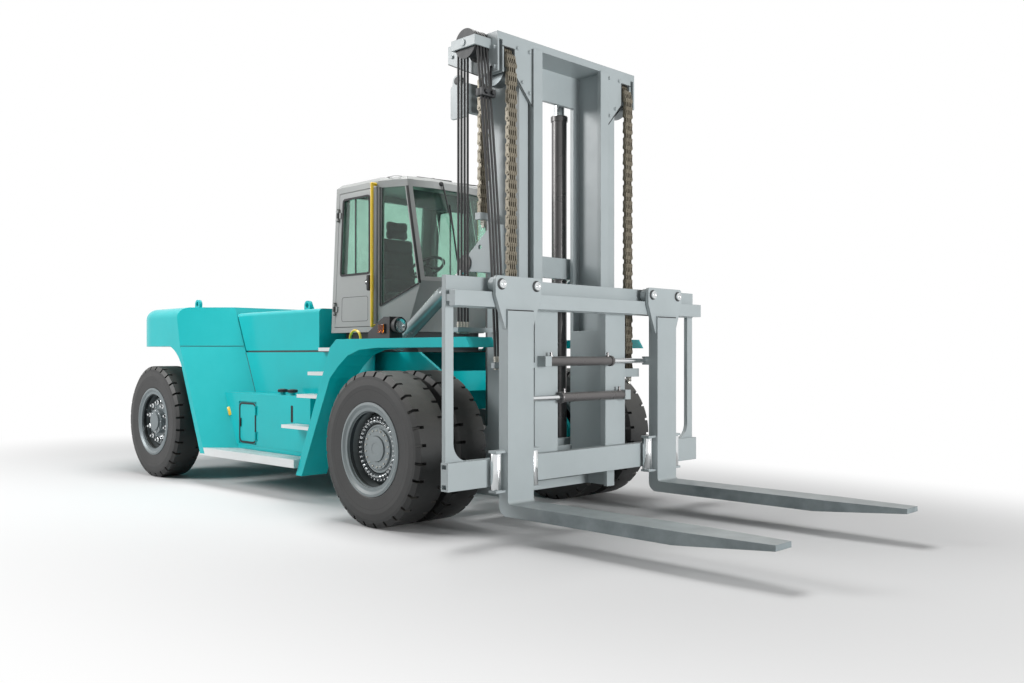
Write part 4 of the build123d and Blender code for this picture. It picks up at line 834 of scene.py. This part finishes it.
# %% Hose runs
HOSE_LANES = (-966, -1002, -1038, -1074)
HOSE_R = 11
HOSE_REAR_X, HOSE_SHEAVE_X, HOSE_FRONT_X = 620, 737, 854
HOSE_FOOT, HOSE_TOP = 1750, 4165
HOSE_SHEAVE_R = 117


def hose(points):
    """A round hose along a smooth path through the places."""
    bpy.ops.object.select_all(action="DESELECT")
    path = bpy.data.curves.new("hose_path", "CURVE")
    path.dimensions = "3D"
    line = path.splines.new("NURBS")
    line.points.add(len(points) - 1)
    for point, place in zip(line.points, points):
        point.co = (*spot(*place), 1)
    line.order_u = 3
    line.use_endpoint_u = True
    path.resolution_u = 6
    path.bevel_depth = HOSE_R / 1000
    path.bevel_resolution = 3
    path.use_fill_caps = True
    piece = bpy.data.objects.new("hose_path", path)
    bpy.context.scene.collection.objects.link(piece)
    only(piece)
    bpy.ops.object.convert(target="MESH")
    return settle(bpy.context.object)


def front_hose(share, lane):
    """A place on the front run, which bows out a little between the sheave and the carriage."""
    bow = 26 * math.sin(math.pi * share)
    return HOSE_FRONT_X + 226 * share + bow, lane, HOSE_TOP - 2715 * share


def front_run(first, last, count):
    """A stretch of the front run, in all lanes."""
    shares = [first + (last - first) * step / count for step in range(count + 1)]
    return joined([hose([front_hose(s, lane) for s in shares]) for lane in HOSE_LANES])


front_hoses = ready(front_run(0, 1, 8), "hose_front_run", hose_rubber, "inner_mast", 60)
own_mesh(front_hoses)
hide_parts("hoses_front")
ready(front_run(0.91, 1, 3), "hose_front_end", hose_rubber, "fork_carriage", 60)
rear_heights = [HOSE_FOOT + (HOSE_TOP - HOSE_FOOT) * step / 5 for step in range(6)]
rear_hoses = joined([hose([(HOSE_REAR_X, lane, z) for z in rear_heights]) for lane in HOSE_LANES])
dressed(rear_hoses, "hose_rear_run", hose_rubber, 60)
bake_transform(rear_hoses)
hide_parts("hoses_rear")


def hose_wrap(lane):
    """Half a hose ring over the sheave: a torus cut at the axle's height."""
    bpy.ops.object.select_all(action="DESELECT")
    middle = spot(HOSE_SHEAVE_X, lane, HOSE_TOP)
    bpy.ops.mesh.primitive_torus_add(
        major_radius=HOSE_SHEAVE_R / 1000, minor_radius=HOSE_R / 1000, major_segments=48,
        minor_segments=14, location=middle, rotation=(math.radians(90), 0, 0))
    piece = edit_mode(bpy.context.object)
    bpy.ops.mesh.bisect(plane_co=middle, plane_no=(0, 0, 1), clear_inner=True, use_fill=True)
    return settle(piece)


wraps = joined([hose_wrap(lane) for lane in HOSE_LANES])
ready(wraps, "hose_wrap_run", hose_rubber, "inner_mast", 60)
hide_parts("hose_wraps")
print("hoses:", len(HOSE_LANES), "lanes")

# %% Hose ferrules, nuts and clamp
ferrule_steps = [
    (12, 0), (15, 2), (15, 14), (13, 16), (15, 18), (15, 30), (13, 32), (15, 34), (15, 46), (12, 48),
]
nut_steps = [(21, -3), (23, 0), (23, 22), (20, 25)]
flat_nut = [(17, -3), (19, 0), (19, 8), (17, 10)]
carriage_ends, outer_ends = [], []
for lane in HOSE_LANES:
    carriage_ends.append(turned(ferrule_steps, spot(1080, lane, 1450), (-0.08, 0, 1), 12))
    carriage_ends.append(turned(flat_nut, spot(1080, lane, 1398), DOWN, 6))
    outer_ends.append(turned(ferrule_steps, spot(HOSE_REAR_X, lane, HOSE_FOOT), UP, 12))
    outer_ends.append(turned(flat_nut, spot(HOSE_REAR_X, lane, 1707), DOWN, 6))
ready(joined(carriage_ends), "hose_fittings_carriage", zinc_fitting, "fork_carriage")
ready(joined(outer_ends), "hose_fittings_outer", zinc_fitting, "outer_mast")
clamp = joined([
    slab((862, -1096, 3692), (905, -944, 3758), 4),
    slab((907, -1096, 3692), (950, -944, 3758), 4),
    slab((880, -950, 3740), (900, -937, 3975), 2),
    turned(nut_steps, spot(950, -984, 3725), FRONT, 6),
    turned(nut_steps, spot(950, -1056, 3725), FRONT, 6),
])
ready(clamp, "hose_clamp", black_plastic, "inner_mast")
print("hose fittings:", len(carriage_ends) + len(outer_ends))

# %% [markdown]
# ## Mast head and cylinders
# Steel plates meet here in seams sealed with black compound, held by hexagon bolts. The
# lift cylinders end in gland nuts, and the tilt pins are closed by turned caps with
# rings. Rings are drawn from an open circle round a closed profile.

# %% Bolts, caps and glands on the mast
bolt_head = [(20, 0), (20, 4), (15, 4), (15, 13), (12, 16)]
HEAD_SIDE, HEAD_TOP, HEAD_FRONT = -937, 4262, 965
side_bolts = [(390, 4160), (490, 4160), (930, 3965), (930, 4130)]
top_bolts = [(x, y) for x in (380, 910) for y in (-880, -560)]
front_bolts = [(-550, 4160), (-700, 4160), (-550, 3800), (-640, 3880)]
head_bolts = [turned(bolt_head, spot(x, HEAD_SIDE, z), RIGHT, 6) for x, z in side_bolts]
head_bolts += [turned(bolt_head, spot(x, y, HEAD_TOP), UP, 6) for x, y in top_bolts]
head_bolts += [turned(bolt_head, spot(HEAD_FRONT, y, z), FRONT, 6) for y, z in front_bolts]
both_sides(joined(head_bolts), "mast_head_bolts", mast_grey, "inner_mast")
SEAL_FRONT, SEAL_SIDE = HEAD_FRONT + 1.5, HEAD_SIDE - 1.5
front_seals = [
    # from y, z to y, z, and the width
    (-737, 3934, -515, 3690, 9), (-737, 4145, -737, 3930, 9),
    (-739, 4145, -879, 4145, 9), (-519, 3694, -519, 4196, 7),
]
seals = [strap((SEAL_FRONT, y0, z0), (SEAL_FRONT, y1, z1), wide, 3, FRONT)
         for y0, z0, y1, z1, wide in front_seals]
seals.append(strap((720, SEAL_SIDE, 3927), (332, SEAL_SIDE, 4106), 8, 3, RIGHT))
both_sides(joined(seals), "mast_head_seals", black_rubber, "inner_mast")
gland_steps = [(84, -44), (84, 0), (79, 7), (54, 7), (54, 0.4), (75.4, 0.4), (75.4, -44)]
both_sides(turned(gland_steps, spot(410, -450, 3862), UP, 32, True),
           "lift_gland", barrel_grey, "outer_mast")
cap_steps = [(80, 0.3), (80, 10), (72, 14), (68, 9), (52, 9), (48, 15), (26, 16), (23, 11), (1, 11)]
both_sides(turned(cap_steps, spot(405, -801, 2333), RIGHT, 40),
           "tilt_pin_cap", barrel_grey, "outer_mast")
foot_steps = [(58, 0.3), (58, 8), (52, 10), (30, 10), (28, 7), (1, 7)]
both_sides(turned(foot_steps, spot(-640, -798, 1623), RIGHT, 32),
           "tilt_foot_cap", barrel_grey, "chassis")
boss_steps = [(34, 0.3), (34, 5), (28, 8), (12, 8), (1, 7)]
groove_steps = [(44, 1), (44, 6), (36, 9), (36, 18), (44, 21), (44, 26), (1, 26)]
wing_pulley = joined([
    turned(boss_steps, spot(415, -908, 3950), RIGHT),
    turned(groove_steps, spot(415, -886, 3950), (0, 1, 0)),
])
both_sides(wing_pulley, "wing_pulley", black_plastic, "outer_mast")
print("mast head:", len(head_bolts), "bolts a side")

# %% Chain anchors
def anchor_rod(place):
    """A threaded rod under a chain, with a nut and a lock nut."""
    rod = turned([(15, 0), (15, 66), (12, 70)], place, DOWN, 14)
    pieces = [rod]
    for low in (1, 25):
        nut = [(25, low), (27, low + 3), (27, low + 18), (25, low + 21)]
        pieces.append(turned(nut, place, DOWN, 6))
    return joined(pieces)


both_sides(anchor_rod(spot(1003, -801, 1300)), "chain_anchor_front", zinc_fitting, "fork_carriage")
both_sides(anchor_rod(spot(641, -801, 2700)), "chain_anchor_rear", zinc_fitting, "outer_mast")
print("chain anchors: 4")

# %% [markdown]
# ## Forks and positioners
# Each fork hangs on two pins in its hook plate, and rolls along the lower beam on two
# upright rollers with a bright sleeve. Two hydraulic positioners push the forks apart;
# their rods leave the barrels through gland nuts.

# %% Fork pins, rollers and positioner glands
washer_steps = [(44, 0.3), (46, 2), (46, 7), (43, 9), (1, 9)]
cap_steps = [(37, 9.2), (37, 22), (33, 26), (25, 26), (23, 22), (11, 22), (9, 26), (1, 26)]
pins = [spot(1289, y, 2081) for y in (-803, -1207)]
pin_washers = [turned(washer_steps, place, FRONT, 32) for place in pins]
pin_caps = [turned(cap_steps, place, FRONT, 32) for place in pins]
both_sides(joined(pin_washers), "fork_hook_washers", black_plastic, "fork_r")
both_sides(joined(pin_caps), "fork_hook_caps", chrome_rod, "fork_r")
# Painted shadow: a dark strip on the hook plate's front stands in for the shadow line at the plate's
# lower edge.
both_sides(strap((1311.2, -1154, 1873), (1311.2, -856, 1873), 9, 2, FRONT, 0.6),
           "fork_hook_shadow_line", black_rubber, "fork_r")
sleeve_steps = [(46.3, 423), (47.6, 425), (47.6, 713), (46.3, 715)]
sleeves = [turned(sleeve_steps, spot(1235, y, 0), UP, 28, True) for y in (-793, -1217)]
both_sides(joined(sleeves), "fork_roller_sleeves", chrome_rod, "fork_r", 50)
gland_steps = [(50, -26), (50, 0), (46, 6), (25, 6), (25, 0.4), (42.4, 0.4), (42.4, -26)]
port_steps = [(16, -3), (16, 10), (10, 10), (10, 22), (13, 22), (13, 34), (9, 36)]
for side, sign, z in (("left", 1, 1456), ("right", -1, 1138)):
    parts = [turned(gland_steps, spot(1150, sign * 351, z), (0, sign, 0), 24, True)]
    parts += [turned(port_steps, spot(1150, sign * y, z + 42), UP, 8) for y in (300, -470)]
    ready(joined(parts), f"positioner_gland_{side}", barrel_grey, "fork_carriage")
print("fork pins and glands ready")

# %% [markdown]
# ## Cab trim
# The cab is a painted steel shell with green glass. Its windows sit in black rubber, the
# doors have a pull handle and a round lock, and a wiper hangs over the windscreen. A seal
# is a flat frame: a plane with rounded corners, inset, opened and thickened.

# %% Door trim
pane = [(-1727, 2342), (-1192, 2342), (-1192, 3162), (-1672, 3162)]
door_seal = side_frame(-673, pane, 22, 6, 40)
door_bar = slab((-1472, -662, 2352), (-1450, -655.2, 3152), 2)
handle = slab((-1202, -716, 2170), (-1158, -671, 2330), 12, 3)
lock_steps = [(28, 0.3), (28, 6), (24, 9), (13, 9), (12, 11), (1, 12)]
lock = turned(lock_steps, spot(-1245, -670, 2262), RIGHT, 24)
black_trim = joined([door_seal, door_bar, handle, lock])
both_sides(black_trim, "door_trim", black_rubber, "door_right")
panel = [(-1700, 1860), (-1230, 1860), (-1230, 2120), (-1690, 2120)]
both_sides(side_frame(-670.6, panel, 4, 1, 30), "door_seam", black_rubber, "door_right")
both_sides(turned([(11, 0), (11, 3), (9, 4), (1, 4)], spot(-1245, -681, 2262), RIGHT, 16),
           "door_lock", chrome_rod, "door_right")
HINGES = [(-1809.7, 2000.0), (-1742.1, 2994)]
HINGE_LEAN = Vector((107, 0, 1575))
sleeve_steps = [(14.3, -28), (17, -26), (17, 26), (14.3, 28)]
end_steps = [(1, 60.3), (16, 60.3), (17, 63), (14, 68), (1, 69)]
for number, (x, z) in enumerate(HINGES):
    place = spot(x, -684, z)
    sleeve = turned(sleeve_steps, place, HINGE_LEAN, 20, True)
    both_sides(sleeve, f"door_hinge_sleeve_{number}", black_plastic, "door_right")
    both_sides(joined([turned(end_steps, place, HINGE_LEAN * way, 20) for way in (1, -1)]),
               f"door_hinge_caps_{number}", black_plastic, "chassis")
print("door trim:", len(black_trim.data.polygons), "faces")

# %% Pillars, nose seals, wiper and visor
both_sides(slab((-1124, -674, 1822), (-1066, -670.2, 3222), 1.5),
           "cab_pillar", pillar_grey, "chassis")
nose = joined([
    strap((-549, -541, 2222), (-748, -541, 3212), 26, 8, (0.75, -0.66, 0)),
    strap((-1032, -665, 2010), (-1032, -665, 3215), 14, 6, (0.3, -0.95, 0)),
    strap((-1030, -664, 2008), (-570, -541, 2222), 16, 6, (0.26, -0.96, 0)),
])
both_sides(nose, "cab_nose_seal", black_rubber, "chassis")
SCREEN = (0.98, 0, 0.2)
ROOF_TOP = 3321
wiper = joined([
    turned([(24, 0), (24, 18), (18, 30), (10, 32), (1, 32)], spot(-696, -150, 3264), SCREEN, 20),
    strap((-658, -150, 3264), (-586, -62, 2780), 16, 8, SCREEN),
    strap((-652, -60, 3060), (-532, -60, 2480), 10, 16, SCREEN),
])
ready(wiper, "windscreen_wiper", black_plastic, "chassis")
for number, y in enumerate((-330, 120)):
    arm = joined([
        turned([(20, 0), (20, 14), (14, 22), (1, 24)], spot(-960, y, ROOF_TOP), UP, 16),
        strap((-958, y, 3340), (-800, y + 190, 3340), 12, 6, UP),
        strap((-830, y - 20, 3334), (-770, y + 400, 3334), 9, 10, UP),
    ])
    ready(arm, f"roof_wiper_{number}", black_plastic, "chassis")
visor = strap((-835, -380, 3110), (-835, 380, 3110), 190, 8, SCREEN, 3)
ready(visor, "sun_visor", pillar_grey, "chassis")
roof = [(-1730, -600), (-850, -600), (-850, 600), (-1730, 600)]
roof_seam = flat_frame([(x, y, ROOF_TOP) for x, y in roof], 8, 2, 60)
ready(roof_seam, "roof_seam", black_rubber, "chassis")
print("cab trim ready")

# %% [markdown]
# ## Lamps
# A round headlamp is a dished mirror behind a domed lens. Both are turned: the mirror
# steps inward from the bezel, the lens swells out of it. The indicator beside it and the
# tail lamps are moulded blocks of coloured plastic.

# %% Head, side and tail lamps
lamp_at = spot(-163, -1097, 1782)
mirror = turned([(65, 0.3), (65, 9), (62, 9), (50, 5), (20, 2), (1, 1.4)], lamp_at, FRONT, 36)
both_sides(mirror, "headlamp_mirror", chrome_rod, "chassis")
lens = turned([(64, 9.4), (62, 13), (48, 18), (25, 21), (1, 22)], lamp_at, FRONT, 36)
both_sides(lens, "headlamp_lens", lamp_lens, "chassis")
indicator = slab((-372, -1194, 1715), (-288, -1182.3, 1794), 5, 3)
both_sides(indicator, "indicator_lens", amber_lens, "chassis")
tail_case = slab((-5606, -650, 1790), (-5600.3, -470, 1880), 2)
both_sides(tail_case, "tail_case", black_plastic, "chassis")
TAILS = [("tail_red", -555, -480, red_lens), ("tail_amber", -640, -562, amber_lens)]
for name, y_low, y_high, tint in TAILS:
    tail = slab((-5609, y_low, 1800), (-5606.3, y_high, 1870), 1)
    both_sides(tail, name, tint, "chassis")
print("lamps ready")

# %% [markdown]
# ## Body fittings
# Small things on the body: knurled filler caps, the rubber frame and latch of the tank
# hatch, a grab slot with painted shade inside, a yellow box on the side panel, seams, and the tow pin
# at the back.

# %% Filler caps
def filler_cap(place):
    """A cap with finger grips pressed into its side."""
    cap = turned([(50, 0), (54, 3), (54, 27), (50, 33), (31, 35), (29, 37), (1, 37)], place, UP, 24)
    edit_mode(cap)
    pick(cap, "FACE", lambda face: abs(face.normal.z) < 0.2 and face.calc_area() > 0.0002)
    bpy.ops.mesh.inset(thickness=0.0025, depth=-0.003, use_individual=True)
    return only(cap)


caps = joined([filler_cap(spot(x, -920, 1100)) for x in (-2458, -2259)])
both_sides(caps, "filler_caps", black_plastic, "chassis", 25)
hatch_edge = [(-3262, 503), (-2893, 503), (-2893, 967), (-3262, 967)]
hatch_seal = joined([
    side_frame(-1002.6, hatch_edge, 21, 5, 62),
    slab((-3246, -1012, 686), (-3214, -1000.2, 784), 5),
    slab((-3239, -1019, 704), (-3221, -1011, 766), 4),
])
ready(hatch_seal, "hatch_seal", black_rubber, "hatch")
# Painted shade: the grab slot is not cut; a thin dark plate inside its rubber rim stands in for the
# shade in the opening.
slot_edge = [(-2163, 783), (-2123, 783), (-2123, 967), (-2163, 967)]
grab_slot_rim_and_shade = joined([
    side_frame(-1001.6, slot_edge, 8, 3, 14),
    slab((-2157, -1001, 790), (-2129, -1000.2, 960), 0.3),
])
ready(grab_slot_rim_and_shade, "grab_slot_rim_and_shade", black_rubber, "chassis")
print("caps and hatch trim ready")

# %% Yellow box, fender seams and tow pin
PANEL_OUT = Vector((0.6168, -0.7269, 0.302))
PANEL_UP = Vector((-0.4397, 0, 0.898))
box_middle = Vector((-3487, -985, 852)) + PANEL_OUT * 12
yellow_box = strap(box_middle - PANEL_UP * 52, box_middle + PANEL_UP * 52, 62, 24, PANEL_OUT, 5)
ready(yellow_box, "yellow_box", rail_yellow, "chassis")
fender_seams = joined([slab((x, -1184, 1664.1), (x + 5, -881, 1665.2), 0.4) for x in (-640, 430)])
both_sides(fender_seams, "fender_seams", black_rubber, "chassis")
seam_ends = [Vector(place) + PANEL_OUT for place in ((-4196, -1268, 1615), (-3584, -764, 1615))]
block_seam = strap(*seam_ends, 6, 2, PANEL_OUT, 0.5)
side_seam = strap((-3320, -761, 1074), (-3540, -761, 1538), 7, 2, (0.4, -0.9, 0.1), 0.5)
both_sides(joined([block_seam, side_seam]), "body_seams", black_rubber, "chassis")
both_sides(slab((-3290, -999, 432.3), (-1792, -984, 477.7), 1), "tank_skirt", teal_paint, "chassis")
pin_steps = [(17, 626), (19, 630), (19, 775), (30, 775), (30, 790), (22, 796), (1, 797)]
tow = joined([
    slab((-5597, -95, 640), (-5540.3, 95, 668), 4),
    slab((-5597, -95, 742), (-5540.3, 95, 770), 4),
    turned(pin_steps, spot(-5572, 0, 0), UP, 20),
])
ready(tow, "tow_pin", barrel_grey, "chassis")
print("body fittings ready")

# %% [markdown]
# ## Driver's seat
# The seat is soft, so it is not left as a block. Each pad starts as a bevelled block a
# little too small, is remeshed evenly, and swells under cloth pressure until its faces
# crown; how far a point may travel is capped. Sewn channels are pressed in afterwards.

# %% Pads
SEAM_DEEP, SEAM_WIDE, SEAM_ACROSS = 0.16, 0.012, 0.35
PAD_GRID = 0.012


def swollen(piece, cap):
    """Let cloth pressure crown a block, with a limit on how far each point travels."""
    rest = [corner.co.copy() for corner in piece.data.vertices]
    cloth = piece.modifiers.new("swell", "CLOTH")
    cloth.settings.use_pressure = True
    cloth.settings.uniform_pressure_force = 4
    cloth.settings.effector_weights.gravity = 0
    for step in range(1, 21):
        bpy.context.scene.frame_set(step)
    seen = piece.evaluated_get(bpy.context.evaluated_depsgraph_get()).data
    puffed = [corner.co.copy() for corner in seen.vertices]
    piece.modifiers.remove(cloth)
    bpy.context.scene.frame_set(1)
    for corner, start, end in zip(piece.data.vertices, rest, puffed):
        move = end - start
        corner.co = start + move * min(1, cap / max(move.length, 1e-6))


def seat_pad(low, high, soft, cap, channels):
    """A padded piece; channels are (axis, place in mm) lines that are sewn down."""
    piece = slab(low, high, soft, 3)
    weave_grid = piece.modifiers.new("grid", "REMESH")
    weave_grid.mode = "VOXEL"
    weave_grid.voxel_size = PAD_GRID
    bpy.ops.object.modifier_apply(modifier="grid")
    swollen(piece, cap)
    corners = piece.data.vertices
    middle = sum((corner.co for corner in corners), Vector()) / len(corners)
    for axis, line in channels:
        line = spot(line, line, line)[axis]
        for corner in corners:
            pull = SEAM_DEEP * math.exp(-((corner.co[axis] - line) / SEAM_WIDE) ** 2)
            for other in range(3):
                if other != axis:
                    share = pull * (SEAM_ACROSS if other == 1 else 1)
                    corner.co[other] += (middle[other] - corner.co[other]) * share
    rounder = piece.modifiers.new("rounder", "SUBSURF")
    rounder.levels = 1
    rounder.render_levels = 1
    bpy.ops.object.modifier_apply(modifier="rounder")
    return settle(piece)


cushion_seams = [(1, -120), (1, 120), (0, -1290)]
cushion = seat_pad((-1585, -236, 2064), (-1112, 236, 2176), 34, 0.014, cushion_seams)
back_seams = [(2, 2330), (2, 2480), (2, 2630)]
back = seat_pad((-1588, -226, 2150), (-1490, 226, 2806), 48, 0.012, back_seams)
hinge = Matrix.Translation(spot(-1540, 0, 2130))
lean_back = Matrix.Rotation(math.radians(-8.3), 4, "Y")
back.data.transform(hinge @ lean_back @ hinge.inverted())
head = seat_pad((-1652, -138, 2782), (-1572, 138, 2982), 36, 0.010, [(2, 2876)])
for pad, name in ((cushion, "seat_cushion"), (back, "seat_back"), (head, "seat_head")):
    ready(pad, name, seat_cloth, "chassis", 60)
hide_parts("seat")
print("pads:", [len(pad.data.polygons) for pad in (cushion, back, head)])

# %% Seat base
fold_heights = [1792 + 42 * step for step in range(5)]
folds = [slab((-1560, -180, z), (-1160, 180, z + 38), 16, 3) for z in fold_heights]
folds.append(slab((-1590, -215, 2004), (-1130, 215, 2060), 12))
posts = [turned([(8, 2740), (8, 2815)], spot(-1612, y, 0), UP, 12) for y in (-60, 60)]
ready(joined(folds), "seat_bellows", black_rubber, "chassis")
ready(joined(posts), "seat_head_posts", chrome_rod, "chassis")
print("seat base ready")
